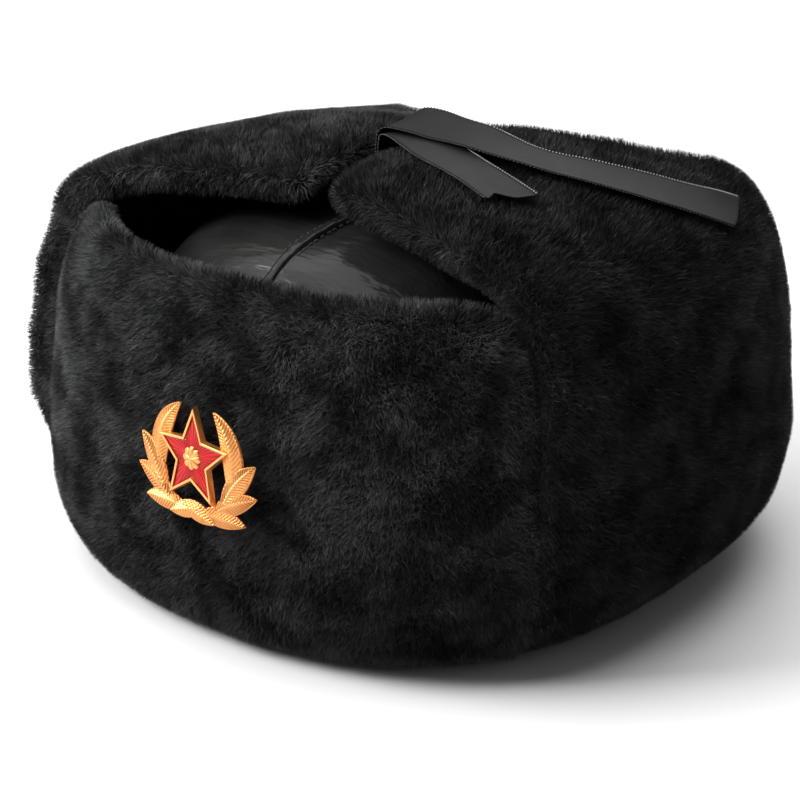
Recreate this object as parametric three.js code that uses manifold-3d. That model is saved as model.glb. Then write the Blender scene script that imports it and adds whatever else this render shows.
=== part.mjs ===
// A fur hat with a leather crown, whose ear flaps are folded up and tied together over the crown.
// Millimetres, +Z up. The rim stands on Z = 0, the wearer looks along -Y, and the wearer's left is +X.

import * as THREE from "three";
import { LoftGeometry } from "three/addons/geometries/LoftGeometry.js";
import { mergeVertices } from "three/addons/utils/BufferGeometryUtils.js";
import Module from "manifold-3d";

const wasm = await Module();
wasm.setup();

// The hat's plan is a rounded oblong round the middle of the head: 2 is an ellipse, and more is squarer.
const CORNER_POWER = 2.4;
const HEAD_MIDDLE = new THREE.Vector3(0, 0, 60);

const MERGE_DISTANCE = 1e-4;

// How far evenly spaced stations crowd towards both ends of a flap.
const CROWDING = 0.75;

/** A table's rows, with each value under its column's name. */
function namedRows(columns, rows) {
  return rows.map((row) => Object.fromEntries(columns.map((column, i) => [column, row[i]])));
}

// Heights of the turned-up flaps.
const WALL_TOP = 134;
const SHOULDER = 118;

// The crown: a leather cap, open below. Its rows run from the rim to the top: the height, then half the
// width and the reach to the front and to the back, all to the outside of the leather.
const LEATHER = 2.6;
// Towards the top the wall is set by its drop from the outside, and less by how far it is drawn in.
const CROWN_WALL = { drop: 2, drawnIn: 0.75, power: 4 };
const CROWN_SIDES = 44;
const CROWN_ROWS = [
  { z: 1.2, half: 89.6, front: 101.2, back: 105.4 },
  { z: 30, half: 90.2, front: 101.8, back: 105.8 },
  { z: 62, half: 90.6, front: 102, back: 106 },
  { z: 88, half: 88.5, front: 100, back: 104 },
  { z: 103, half: 83.5, front: 95.5, back: 99 },
  { z: 114, half: 76, front: 89, back: 92 },
  { z: 122, half: 67, front: 81, back: 83 },
  { z: 128, half: 56, front: 71, back: 72 },
  { z: 131.5, half: 43, front: 58, back: 58 },
  { z: 133.5, half: 27, front: 38, back: 38 },
  { z: 134, half: 8, front: 11, back: 11 },
];

// The welted seam along the middle of the crown.
const WELT = { width: 4.2, height: 1.3, bury: 1.2, steps: 48 };
// Half of the seam's section, from its foot to its flat top: the share of its width and of its height.
const WELT_SHOULDER = { foot: 1, edge: 0.3, flat: 0.45 };

// The front flap: its section's rows from the foot to the free edge, with the outer and the inner face, and
// the angle round the head at which the row ends.
const FRONT_FLAP_ROWS = [
  { z: 0, outHalf: 100, outReach: 110.5, inHalf: 94, inReach: 105, end: 59.5 },
  { z: 2.6, outHalf: 107, outReach: 116, inHalf: 91.6, inReach: 103, end: 59.2 },
  { z: 8, outHalf: 115.5, outReach: 120.4, inHalf: 90.8, inReach: 102.4, end: 58.6 },
  { z: 24, outHalf: 126.5, outReach: 123.6, inHalf: 92.5, inReach: 103, end: 57.5 },
  { z: 48, outHalf: 128, outReach: 124, inHalf: 98, inReach: 104.2, end: 56.9 },
  { z: 74, outHalf: 125.5, outReach: 122.8, inHalf: 103.5, inReach: 104.6, end: 56.7 },
  { z: 98, outHalf: 123, outReach: 121.2, inHalf: 103.5, inReach: 103.4, end: 56.9 },
  { z: 116, outHalf: 117, outReach: 119, inHalf: 99, inReach: 101.4, end: 56.2 },
  { z: 127, outHalf: 111.5, outReach: 116.4, inHalf: 96.5, inReach: 101, end: 53.4 },
  { z: 132, outHalf: 107.5, outReach: 113, inHalf: 99, inReach: 104, end: 50.6 },
  { z: WALL_TOP, outHalf: 104, outReach: 110, inHalf: 102.5, inReach: 108, end: 48.8 },
];
// Its top edge dips a little at the very corners.
const FRONT_FLAP = { stations: 33, endRound: 0.04, cornerDrop: 1.5, dropRise: 3, dropSide: 7 };

// The ear flaps' wall: the same rows, with the back reach as well, and the angle at the front seam.
const WALL_COLUMNS = ["z", "outHalf", "outFront", "outBack", "inHalf", "inFront", "inBack", "end"];
const EAR_WALL_ROWS = namedRows(WALL_COLUMNS, [
  [0, 99, 109, 114, 93, 104.6, 109, 60.4],
  [2.6, 106, 115, 122, 91.2, 103, 107.4, 60.1],
  [8, 114, 120, 131, 90.8, 102.4, 106.8, 59.5],
  [24, 128.5, 123.6, 140.5, 95, 103, 109, 58.4],
  [48, 133, 125, 142, 103, 104.8, 114, 57.8],
  [74, 130.5, 124.6, 139, 109.5, 105.8, 117, 57.6],
  [98, 128.5, 122.6, 136.5, 109, 104.8, 116, 57.8],
  [SHOULDER, 123.5, 118.4, 132, 104, 100.4, 114, 57.3],
]);

// The ear flaps' stations, from the seam beside the front flap round to the centre back. Each row has the
// angle round the head in degrees, how far it still follows the seam, where the upper face ends, how square
// the shoulder is, how far the upper face bows forwards, how much lower the wearer's right flap lies at its
// shoulder and at its tip, and how thick the upper face is.
const EAR_COLUMNS = [
  "angle", "seam", "tipX", "tipY", "tipZ", "rise", "reach", "bow",
  "slump", "sag", "thick",
];
const EAR_STATIONS = namedRows(EAR_COLUMNS, [
  [57.3, 1, 2.4, -61, 149, 1, 0.7, 21, 12, 0, 18],
  [60, 0.8, 1.6, -56, 154, 0.92, 0.7, 16, 12, 0, 18],
  [65, 0.5, 1.8, -46, 157, 0.82, 0.66, 10, 12.5, 0, 18],
  [72, 0.2, 2, -34, 158, 0.72, 0.6, 5, 12.5, -1, 18],
  [81, 0, 2.1, -20, 158, 0.66, 0.56, 2, 13.5, -2, 18],
  [92, 0, 2.1, -5, 157.5, 0.6, 0.52, 0, 14, -1.5, 17],
  [104, 0, 2.1, 10, 156, 0.57, 0.5, 0, 12.5, 0, 15.5],
  [114, 0, 2.4, 23, 155.5, 0.55, 0.5, 0, 9, 3.5, 13.5],
  [122, 0, 10, 36, 153.5, 0.54, 0.5, 0, 6, 5, 12.5],
  [129, 0, 30, 51, 151.5, 0.54, 0.5, 0, 4.5, 7, 12.5],
  [136, 0, 55, 71, 147, 0.55, 0.5, 0, 2, 7, 13.5],
  [144, 0, 67, 94, 138, 0.58, 0.52, 0, 0, 6, 15.5],
  [154, 0, 54, 113, 131.5, 0.62, 0.54, 0, 0, 4, 17],
  [166, 0, 31, 124, 129.5, 0.66, 0.55, 0, 0, 1.5, 17.5],
  [179.75, 0, 0.9, 127, 129, 0.66, 0.55, 0, 0, 0, 17.5],
]);
const EAR_FLAP = {
  stations: 33,
  frontRound: 0.035,
  backRound: 0.02,
  lean: 0.03,
  crest: 0.02,
  rightBow: 0.4,
};
// How much of its thickness each flap keeps at its very ends.
const BLUNT = { frontFlap: 0.7, left: 0.62, right: 0.5, back: 0.6 };
// How far along the upper face each row lies, and how much of its thickness the flap keeps there.
const UPPER_ROWS = [
  { along: 0.12, keep: 1 },
  { along: 0.27, keep: 1 },
  { along: 0.43, keep: 1 },
  { along: 0.6, keep: 1 },
  { along: 0.77, keep: 1 },
  { along: 0.9, keep: 1 },
  { along: 0.97, keep: 0.88 },
  { along: 1, keep: 0.5 },
];
// The wearer's right flap stands off the front flap: its front end bulges past it, from the foot up.
const STAND_OFF = {
  left: 0.5,
  right: 9.5,
  fadeAngle: 40,
  foot: 6,
  full: 50,
  easeFrom: 84,
  easeTo: 128,
  eased: 0.7,
};

// The badge: a wreath round a five-pointed star, with sizes in star radii where a column says so.
const STAR_RADIUS = 17.25;
const BADGE = {
  centre: new THREE.Vector3(5.8, -125.2, 72),
  turn: -5.5,
  tilt: 6,
  spin: 2.9,
  bendRadius: 300,
  plateBack: 0.6,
  plateFront: 1.3,
  frameFront: 2.7,
  frameFlare: 0.5,
  starWaist: 0.45,
  enamelTip: 0.8,
  enamelWaist: 0.355,
  enamelFront: 2.2,
  gap: 0.3,
};
// One side of the wreath, in star radii: each leaf's base and tip, its width, its bend and its height.
const LEAVES = [
  { baseX: 1.0, baseY: -0.5, tipX: 0.46, tipY: 0.995, width: 0.5, bend: -0.3, lift: 0 },
  { baseX: 0.84, baseY: -0.74, tipX: 1.56, tipY: 0.17, width: 0.44, bend: 0.08, lift: 0.3 },
  { baseX: 0.64, baseY: -0.94, tipX: 1.63, tipY: -0.465, width: 0.42, bend: 0.08, lift: 0.15 },
  { baseX: 0.3, baseY: -1.06, tipX: 1.38, tipY: -1.066, width: 0.4, bend: 0.08, lift: 0 },
  { baseX: -0.25, baseY: -0.98, tipX: 0.62, tipY: -1.21, width: 0.36, bend: 0.06, lift: 0.45 },
];
// Each leaf's heights, and how blunt it is at its base and how full between.
const LEAF = { stations: 9, edge: 0.9, ridge: 1.9, back: 0.2, stub: 0.12, fullness: 0.8, leastHalf: 0.12 };
const BOSS = { petals: 8, radius: 4.3, notch: 3.5, front: 2.9, hole: 4.75, holeSides: 24 };
const PRONG = { side: 9, low: -9, width: 2.2, thick: 0.9, length: 7, root: 0.4, clearance: 0.45 };
// The hollow that the badge presses into the fur: an oval, with its rings from the edge to the middle.
const SEAT = {
  halfX: 30,
  halfY: 21.5,
  middleY: -1.9,
  floor: -0.25,
  open: 12,
  sides: 40,
  rings: [1, 0.66, 0.33],
};

// The ribbon ties, which come up through the parting between the lappets, the short one under the long one.
// Each row is a place on the middle of the ribbon's lower face, and the way its width runs there.
const RIBBON = { width: 21, thick: 1, longStations: 46, shortStations: 31 };
const LONG_TIE = [
  { x: -0.4, y: -12, z: 146, acrossX: 0, acrossY: 1, acrossZ: 0 },
  { x: -0.4, y: -12, z: 155, acrossX: 0, acrossY: 1, acrossZ: 0 },
  { x: 0.4, y: -11.8, z: 160.2, acrossX: 0, acrossY: 1, acrossZ: 0.06 },
  { x: 4.5, y: -11.2, z: 162.8, acrossX: 0, acrossY: 1, acrossZ: 0.14 },
  { x: 12, y: -10.4, z: 163, acrossX: 0, acrossY: 1, acrossZ: 0.16 },
  { x: 21, y: -9.8, z: 162, acrossX: 0, acrossY: 1, acrossZ: 0.13 },
  { x: 31, y: -9.6, z: 161.5, acrossX: 0.02, acrossY: 1, acrossZ: 0.08 },
  { x: 41, y: -9.4, z: 160.2, acrossX: -0.05, acrossY: 1, acrossZ: 0.02 },
  { x: 51, y: -6.6, z: 157.8, acrossX: -0.35, acrossY: 0.94, acrossZ: 0 },
  { x: 60, y: -1.4, z: 155.1, acrossX: -0.5, acrossY: 0.86, acrossZ: 0.03 },
  { x: 70, y: 5.6, z: 152.6, acrossX: -0.58, acrossY: 0.81, acrossZ: 0.08 },
  { x: 79.5, y: 13.6, z: 149.4, acrossX: -0.64, acrossY: 0.75, acrossZ: 0.13 },
  { x: 88.5, y: 22.6, z: 145.6, acrossX: -0.68, acrossY: 0.71, acrossZ: 0.18 },
  { x: 96.5, y: 32.6, z: 141.2, acrossX: -0.68, acrossY: 0.7, acrossZ: 0.22 },
  { x: 102.6, y: 43.6, z: 136.6, acrossX: -0.64, acrossY: 0.72, acrossZ: 0.27 },
  { x: 106.6, y: 56, z: 131.6, acrossX: -0.7, acrossY: 0.64, acrossZ: 0.33 },
];
const SHORT_TIE = [
  { x: 1.3, y: -13, z: 146, acrossX: 0, acrossY: 1, acrossZ: 0 },
  { x: 1.3, y: -13, z: 153, acrossX: 0, acrossY: 1, acrossZ: 0 },
  { x: 1.6, y: -13, z: 157, acrossX: 0, acrossY: 1, acrossZ: 0 },
  { x: 4.4, y: -13.6, z: 159.4, acrossX: 0.05, acrossY: 1, acrossZ: 0 },
  { x: 11, y: -16, z: 159.9, acrossX: 0.25, acrossY: 1, acrossZ: 0 },
  { x: 21, y: -21.6, z: 159.6, acrossX: 0.35, acrossY: 1, acrossZ: 0 },
  { x: 32, y: -28, z: 159, acrossX: 0.33, acrossY: 1, acrossZ: -0.03 },
  { x: 42, y: -32.2, z: 158.4, acrossX: 0.28, acrossY: 1, acrossZ: -0.06 },
  { x: 53, y: -35.6, z: 157.1, acrossX: 0.25, acrossY: 1, acrossZ: -0.08 },
  { x: 63, y: -39, z: 155.6, acrossX: 0.25, acrossY: 1, acrossZ: -0.08 },
  { x: 71, y: -41.6, z: 154.1, acrossX: 0.25, acrossY: 1, acrossZ: -0.08 },
];

const FUR = { color: 0x0c0c0e, roughness: 0.95 };
const SMOOTH_LEATHER = { color: 0x121214, roughness: 0.4 };
const SATIN = { color: 0x2b2a2c, roughness: 0.5 };
const GILT = { color: 0xe0a050, roughness: 0.35, metalness: 1 };
const RED_ENAMEL = { color: 0xb0141c, roughness: 0.25 };

/** A point of the plan outline at an angle from the front (-Y) towards the wearer's left (+X). */
function outlinePoint(degrees, half, front, back, z) {
  const angle = THREE.MathUtils.degToRad(degrees);
  const sine = Math.sin(angle);
  const cosine = Math.cos(angle);
  const power = 2 / CORNER_POWER;
  const reach = cosine > 0 ? front : back;
  return new THREE.Vector3(
    half * Math.sign(sine) * Math.abs(sine) ** power,
    -reach * Math.sign(cosine) * Math.abs(cosine) ** power,
    z,
  );
}

/** How much of its thickness a flap keeps at a place along it: it rounds off towards both ends. */
function endThickness(along, startRound, endRound, startKeep, endKeep) {
  const start = Math.min(1, along / startRound);
  const end = Math.min(1, (1 - along) / endRound);
  const rounded = (nearest) => Math.sqrt(1 - (1 - nearest) ** 2);
  return start < end
    ? THREE.MathUtils.lerp(startKeep, 1, rounded(start))
    : THREE.MathUtils.lerp(endKeep, 1, rounded(end));
}

/** Evenly spaced shares from 0 to 1, crowded towards both ends so that the rounding there is smooth. */
function crowdedShares(count) {
  return Array.from({ length: count }, (_, i) => {
    const share = i / (count - 1);
    return share - (CROWDING * Math.sin(2 * Math.PI * share)) / (2 * Math.PI);
  });
}

/** The values of a table's columns at a share of the way through its rows, on a smooth curve. */
function tableRow(rows, share) {
  const place = share * (rows.length - 1);
  const index = Math.min(Math.floor(place), rows.length - 2);
  const part = place - index;
  const near = (step) => rows[THREE.MathUtils.clamp(index + step, 0, rows.length - 1)];
  const mixed = {};
  for (const column of Object.keys(rows[0])) {
    const [p0, p1, p2, p3] = [-1, 0, 1, 2].map((step) => near(step)[column]);
    const cubic = 3 * (p1 - p2) + p3 - p0;
    const square = 2 * p0 - 5 * p1 + 4 * p2 - p3;
    mixed[column] = p1 + 0.5 * part * (p2 - p0 + part * (square + part * cubic));
  }
  return mixed;
}

/** A closed ring from an outer and an inner face, both pulled towards the middle between them. */
function ringOfFaces(outer, inner, keep) {
  const pull = (point, other) => {
    const middle = point.clone().add(other).multiplyScalar(0.5);
    return middle.lerp(point, keep);
  };
  const outside = outer.map((point, i) => pull(point, inner[i]));
  const inside = inner.map((point, i) => pull(point, outer[i]));
  return [...outside, ...inside.reverse()];
}

/** A closed flap lofted through its sections, with flat ends: each section is its two faces and its keep. */
function flapLoft(sections) {
  const [first, last] = [sections[0], sections.at(-1)];
  const rings = [{ ...first, keep: 0 }, ...sections, { ...last, keep: 0 }].map(({ outer, inner, keep }) =>
    ringOfFaces(outer, inner, keep),
  );
  return geometryOf(solidOf(new LoftGeometry(rings)));
}

/** A closed body lofted through rings, with each end ring drawn in to its own middle. */
function closedLoft(rings) {
  const hub = (ring) => {
    const sum = ring.reduce((total, point) => total.add(point), new THREE.Vector3());
    const middle = sum.divideScalar(ring.length);
    return ring.map(() => middle);
  };
  return geometryOf(solidOf(new LoftGeometry([hub(rings[0]), ...rings, hub(rings.at(-1))])));
}

/** A solid for joining and cutting, from a closed geometry. */
function solidOf(geometry) {
  const bare = new THREE.BufferGeometry();
  bare.setAttribute("position", geometry.attributes.position);
  bare.setIndex(geometry.index);
  const merged = mergeVertices(bare, MERGE_DISTANCE);
  const index = [];
  for (let i = 0; i < merged.index.count; i += 3) {
    const [a, b, c] = [0, 1, 2].map((corner) => merged.index.getX(i + corner));
    if (a !== b && b !== c && c !== a) {
      index.push(a, b, c);
    }
  }
  if (signedVolume(merged, index) < 0) {
    index.reverse();
  }
  const mesh = new wasm.Mesh({
    numProp: 3,
    vertProperties: new Float32Array(merged.attributes.position.array),
    triVerts: new Uint32Array(index),
  });
  return new wasm.Manifold(mesh);
}

/** The volume that a geometry's faces enclose, which is negative where they point inwards. */
function signedVolume(geometry, index) {
  const position = geometry.attributes.position;
  const [a, b, c] = [new THREE.Vector3(), new THREE.Vector3(), new THREE.Vector3()];
  let sum = 0;
  for (let i = 0; i < index.length; i += 3) {
    a.fromBufferAttribute(position, index[i]);
    b.fromBufferAttribute(position, index[i + 1]);
    c.fromBufferAttribute(position, index[i + 2]);
    sum += a.dot(b.cross(c));
  }
  return sum / 6;
}

/** A three.js geometry from a solid. */
function geometryOf(solid) {
  const mesh = solid.getMesh();
  const geometry = new THREE.BufferGeometry();
  const points = new Float32Array(mesh.numVert * 3);
  for (let i = 0; i < mesh.numVert; i += 1) {
    points.set(mesh.vertProperties.subarray(i * mesh.numProp, i * mesh.numProp + 3), i * 3);
  }
  geometry.setAttribute("position", new THREE.BufferAttribute(points, 3));
  geometry.setIndex(Array.from(mesh.triVerts));
  geometry.computeVertexNormals();
  return geometry;
}

/** The leather cap: the outside from the top to the rim, then the inside from the rim to the top. */
function crownGeometry() {
  const ring = (row, inset) =>
    Array.from({ length: CROWN_SIDES }, (_, i) =>
      outlinePoint((360 * i) / CROWN_SIDES, row.half - inset, row.front - inset, row.back - inset, row.z),
    );
  const outside = [...CROWN_ROWS].reverse().map((row) => ring(row, 0));
  const inside = CROWN_ROWS.map((row, i) => {
    const up = i / (CROWN_ROWS.length - 1);
    const drop = LEATHER * up ** CROWN_WALL.drop;
    const inset = LEATHER * (1 - CROWN_WALL.drawnIn * up ** CROWN_WALL.power);
    return ring({ ...row, z: i === 0 ? row.z : row.z - drop }, inset);
  });
  return closedLoft([...outside, ...inside]);
}

/** The raised seam over the crown, from the front rim to the back rim. */
function weltGeometry() {
  const front = CROWN_ROWS.slice(1).map((row) => new THREE.Vector3(0, -row.front, row.z));
  const back = CROWN_ROWS.slice(1).map((row) => new THREE.Vector3(0, row.back, row.z));
  const path = new THREE.CatmullRomCurve3([...front, ...back.reverse()], false, "centripetal");
  const rings = Array.from({ length: WELT.steps + 1 }, (_, i) => {
    const point = path.getPointAt(i / WELT.steps);
    const along = path.getTangentAt(i / WELT.steps);
    const out = new THREE.Vector3(1, 0, 0).cross(along).normalize();
    if (out.dot(point.clone().sub(HEAD_MIDDLE)) < 0) {
      out.negate();
    }
    const corner = (side, height) =>
      point.clone().add(new THREE.Vector3(side * WELT.width * 0.5, 0, 0)).addScaledVector(out, height);
    const { foot, edge, flat } = WELT_SHOULDER;
    const half = (side) => [
      corner(side * foot, -WELT.bury),
      corner(side * foot, WELT.height * edge),
      corner(side * flat, WELT.height),
    ];
    return [...half(1), ...half(-1).reverse()];
  });
  return closedLoft(rings);
}

/** The turned-up flap over the forehead. */
function frontFlapGeometry() {
  const sections = crowdedShares(FRONT_FLAP.stations).map((share) => {
    const side = 2 * share - 1;
    const { endRound } = FRONT_FLAP;
    const keep = endThickness(share, endRound, endRound, BLUNT.frontFlap, BLUNT.frontFlap);
    const face = (half, reach) =>
      FRONT_FLAP_ROWS.map((row) => {
        const rise = row.z / WALL_TOP;
        const corner = rise ** FRONT_FLAP.dropRise * Math.abs(side) ** FRONT_FLAP.dropSide;
        const z = row.z - FRONT_FLAP.cornerDrop * corner;
        return outlinePoint(side * row.end, row[half], row[reach], row[reach], z);
      });
    return { outer: face("outHalf", "outReach"), inner: face("inHalf", "inReach"), keep };
  });
  return flapLoft(sections);
}

/** How far an ear flap's wall stands off outwards, at an angle and a height. */
function standOff(amount, degrees, z) {
  const start = EAR_STATIONS[0].angle;
  const fade = 1 - THREE.MathUtils.smoothstep(degrees, start, start + STAND_OFF.fadeAngle);
  const easing = THREE.MathUtils.smoothstep(z, STAND_OFF.easeFrom, STAND_OFF.easeTo);
  const ease = 1 - (1 - STAND_OFF.eased) * easing;
  return amount * fade * ease * THREE.MathUtils.smoothstep(z, STAND_OFF.foot, STAND_OFF.full);
}

/** The outer and inner faces of an ear flap at one station, from the foot to the free edge. */
function earFlapFaces(station, amount, sagging) {
  const wall = (half, front, back) =>
    EAR_WALL_ROWS.map((row) => {
      const angle = station.angle + station.seam * (row.end - EAR_STATIONS[0].angle);
      const off = standOff(amount, station.angle, row.z);
      return outlinePoint(angle, row[half] + off, row[front] + off, row[back] + off, row.z);
    });
  const outer = wall("outHalf", "outFront", "outBack");
  const inner = wall("inHalf", "inFront", "inBack");
  const shoulder = outer.at(-1);
  const slump = sagging ? station.slump : 0;
  const bowShare = sagging ? EAR_FLAP.rightBow : 1;
  const bow = new THREE.Vector3(0, -station.bow * bowShare, 0);
  const tip = new THREE.Vector3(station.tipX, station.tipY, station.tipZ - (sagging ? station.sag : 0));
  const inward = tip.clone().sub(shoulder).setZ(0);
  const high = THREE.MathUtils.lerp(SHOULDER, tip.z, station.rise) - slump;
  const crest = tip.z + EAR_FLAP.crest * inward.length();
  const curve = new THREE.CubicBezierCurve3(
    shoulder,
    shoulder.clone().addScaledVector(inward, EAR_FLAP.lean).add(bow).setZ(high),
    tip.clone().addScaledVector(inward, -station.reach).add(bow).setZ(crest),
    tip,
  );
  for (const row of UPPER_ROWS) {
    const point = curve.getPoint(row.along);
    const along = curve.getTangent(row.along);
    const out = point.clone().sub(HEAD_MIDDLE);
    out.addScaledVector(along, -out.dot(along)).normalize();
    const middle = point.clone().addScaledVector(out, -station.thick / 2);
    outer.push(middle.clone().addScaledVector(out, (row.keep * station.thick) / 2));
    inner.push(middle.clone().addScaledVector(out, (-row.keep * station.thick) / 2));
  }
  return [outer, inner];
}

/** One half of the ear and neck flap, with its lappet over the crown. */
function earFlapGeometry(side) {
  const amount = side > 0 ? STAND_OFF.left : STAND_OFF.right;
  const sections = crowdedShares(EAR_FLAP.stations).map((share) => {
    const station = tableRow(EAR_STATIONS, share);
    const [outer, inner] = earFlapFaces(station, amount, side < 0);
    const { frontRound, backRound } = EAR_FLAP;
    const frontKeep = side > 0 ? BLUNT.left : BLUNT.right;
    const keep = endThickness(share, frontRound, backRound, frontKeep, BLUNT.back);
    for (const point of [...outer, ...inner]) {
      point.x *= side;
    }
    return { outer, inner, keep };
  });
  return flapLoft(sections);
}

/** The corners of a five-pointed star at a height, with a tip at the top. */
function starRing(radius, waist, height = 0) {
  return Array.from({ length: 10 }, (_, i) => {
    const reach = i % 2 ? waist : radius;
    const angle = (Math.PI * i) / 5;
    return new THREE.Vector3(reach * Math.sin(angle), reach * Math.cos(angle), height);
  });
}

/** A five-pointed star's outline. */
function starShape(radius, waist) {
  return new THREE.Shape(starRing(radius, waist));
}

/** A flat shape thickened from one height to another. */
function slab(shape, back, front) {
  const geometry = new THREE.ExtrudeGeometry(shape, { depth: front - back, bevelEnabled: false });
  return geometry.translate(0, 0, back);
}

/** A leaf of the wreath: pointed, with a ridge along its middle. */
function leafGeometry(row, side) {
  const base = new THREE.Vector3(row.baseX * side, row.baseY, 0).multiplyScalar(STAR_RADIUS);
  const tip = new THREE.Vector3(row.tipX * side, row.tipY, 0).multiplyScalar(STAR_RADIUS);
  const along = tip.clone().sub(base);
  const across = new THREE.Vector3(-along.y, along.x, 0);
  const middle = base.clone().add(tip).multiplyScalar(0.5).addScaledVector(across, row.bend * side);
  const spine = new THREE.QuadraticBezierCurve3(base, middle, tip);
  const rings = Array.from({ length: LEAF.stations }, (_, i) => {
    const share = i / (LEAF.stations - 1);
    const point = spine.getPoint(share);
    const tangent = spine.getTangent(share);
    const aside = new THREE.Vector3(-tangent.y, tangent.x, 0);
    const swell = Math.sin(Math.PI * (LEAF.stub + (1 - LEAF.stub) * share)) ** LEAF.fullness;
    const half = Math.max(LEAF.leastHalf, 0.5 * row.width * STAR_RADIUS * swell);
    const place = (offset, height) => point.clone().addScaledVector(aside, offset * half).setZ(height);
    return [
      place(-1, LEAF.back),
      place(1, LEAF.back),
      place(1, LEAF.edge + row.lift),
      place(0, THREE.MathUtils.lerp(LEAF.edge, LEAF.ridge, swell) + row.lift),
      place(-1, LEAF.edge + row.lift),
    ];
  });
  return closedLoft(rings);
}

/** A round boss with petals, in the middle of the star. */
function bossGeometry() {
  const points = Array.from({ length: BOSS.petals * 4 }, (_, i) => {
    const angle = (2 * Math.PI * i) / (BOSS.petals * 4);
    const petal = Math.abs(Math.cos((angle * BOSS.petals) / 2));
    const reach = THREE.MathUtils.lerp(BOSS.notch, BOSS.radius, petal);
    return new THREE.Vector2(reach * Math.cos(angle), reach * Math.sin(angle));
  });
  return slab(new THREE.Shape(points), BADGE.plateBack, BOSS.front);
}

/** A prong behind the badge, or the slot that it goes into. */
function prongGeometry(side, extra) {
  const depth = PRONG.length + BADGE.plateBack + extra;
  const prong = new THREE.BoxGeometry(PRONG.width + 2 * extra, PRONG.thick + 2 * extra, depth);
  return prong.translate(side * PRONG.side, PRONG.low, BADGE.plateBack + PRONG.root - depth / 2);
}

/** Bends a flat badge piece back round a vertical axis, and sets it on the front flap. */
function placeOnFlap(geometry) {
  const position = geometry.attributes.position;
  for (let i = 0; i < position.count; i += 1) {
    const x = position.getX(i);
    position.setZ(i, position.getZ(i) - (x * x) / (2 * BADGE.bendRadius));
  }
  return standOnFlap(geometry);
}

/** Turns a piece from the badge's own plane to its place on the front flap. */
function standOnFlap(geometry) {
  const degrees = THREE.MathUtils.degToRad;
  return geometry
    .rotateZ(degrees(BADGE.spin))
    .rotateX(degrees(90 - BADGE.tilt))
    .rotateZ(degrees(BADGE.turn))
    .translate(BADGE.centre.x, BADGE.centre.y, BADGE.centre.z);
}

/** The gilt casting: wreath, star frame, boss and prongs in one body. */
function badgeGeometry() {
  const waist = STAR_RADIUS * BADGE.starWaist;
  const flare = BADGE.frameFlare;
  const frame = closedLoft([
    starRing(STAR_RADIUS + flare, waist + flare, BADGE.plateBack),
    starRing(STAR_RADIUS, waist, BADGE.frameFront),
  ]);
  const well = starShape(
    STAR_RADIUS * BADGE.enamelTip + 2 * BADGE.gap,
    STAR_RADIUS * BADGE.enamelWaist + BADGE.gap,
  );
  let solid = solidOf(frame);
  solid = solid.subtract(solidOf(slab(well, BADGE.plateFront, BADGE.frameFront + 1)));
  solid = solid.add(solidOf(bossGeometry()));
  for (const side of [-1, 1]) {
    for (const row of LEAVES) {
      solid = solid.add(solidOf(leafGeometry(row, side)));
    }
    solid = solid.add(solidOf(prongGeometry(side, 0)));
  }
  return placeOnFlap(geometryOf(solid));
}

/** The red star inside the frame, with a round hole for the boss. */
function enamelGeometry() {
  const star = starShape(STAR_RADIUS * BADGE.enamelTip, STAR_RADIUS * BADGE.enamelWaist);
  const hole = new THREE.CylinderGeometry(BOSS.hole, BOSS.hole, 4 * BADGE.enamelFront, BOSS.holeSides);
  const enamel = slab(star, BADGE.plateFront + BADGE.gap, BADGE.enamelFront);
  return placeOnFlap(geometryOf(solidOf(enamel).subtract(solidOf(hole.rotateX(Math.PI / 2)))));
}

/** The hollow that the badge presses into the fur, open to the front. */
function seatGeometry() {
  const ring = (scale, height) =>
    Array.from({ length: SEAT.sides }, (_, i) => {
      const angle = (2 * Math.PI * i) / SEAT.sides;
      const [x, y] = [SEAT.halfX * Math.cos(angle), SEAT.halfY * Math.sin(angle)];
      return new THREE.Vector3(scale * x, scale * y + SEAT.middleY, height);
    });
  const floor = SEAT.rings.map((scale) => ring(scale, SEAT.floor));
  return placeOnFlap(closedLoft([ring(1, SEAT.open), ...floor]));
}

/** The front flap with the badge's seat and the two slots that its prongs go into. */
function slottedFrontFlap() {
  let solid = solidOf(frontFlapGeometry()).subtract(solidOf(seatGeometry()));
  for (const side of [-1, 1]) {
    solid = solid.subtract(solidOf(standOnFlap(prongGeometry(side, PRONG.clearance))));
  }
  return geometryOf(solid);
}

/** A ribbon end that lies on the flaps, cut at a slant. */
function ribbonGeometry(rows, stations) {
  const rings = Array.from({ length: stations }, (_, i) => {
    const row = tableRow(rows, i / (stations - 1));
    const point = new THREE.Vector3(row.x, row.y, row.z);
    const next = tableRow(rows, Math.min(1, (i + 0.5) / (stations - 1)));
    const before = tableRow(rows, Math.max(0, (i - 0.5) / (stations - 1)));
    const step = new THREE.Vector3(next.x - before.x, next.y - before.y, next.z - before.z);
    const along = step.normalize();
    const across = new THREE.Vector3(row.acrossX, row.acrossY, row.acrossZ);
    across.addScaledVector(along, -across.dot(along)).normalize();
    const out = along.clone().cross(across).normalize();
    const corner = (side, height) =>
      point.clone().addScaledVector(across, (side * RIBBON.width) / 2).addScaledVector(out, height);
    return [corner(-1, 0), corner(1, 0), corner(1, RIBBON.thick), corner(-1, RIBBON.thick)];
  });
  return closedLoft(rings);
}

/** A named piece with its material. */
function piece(name, geometry, finish) {
  const mesh = new THREE.Mesh(geometry, new THREE.MeshStandardMaterial(finish));
  mesh.name = name;
  return mesh;
}

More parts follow.
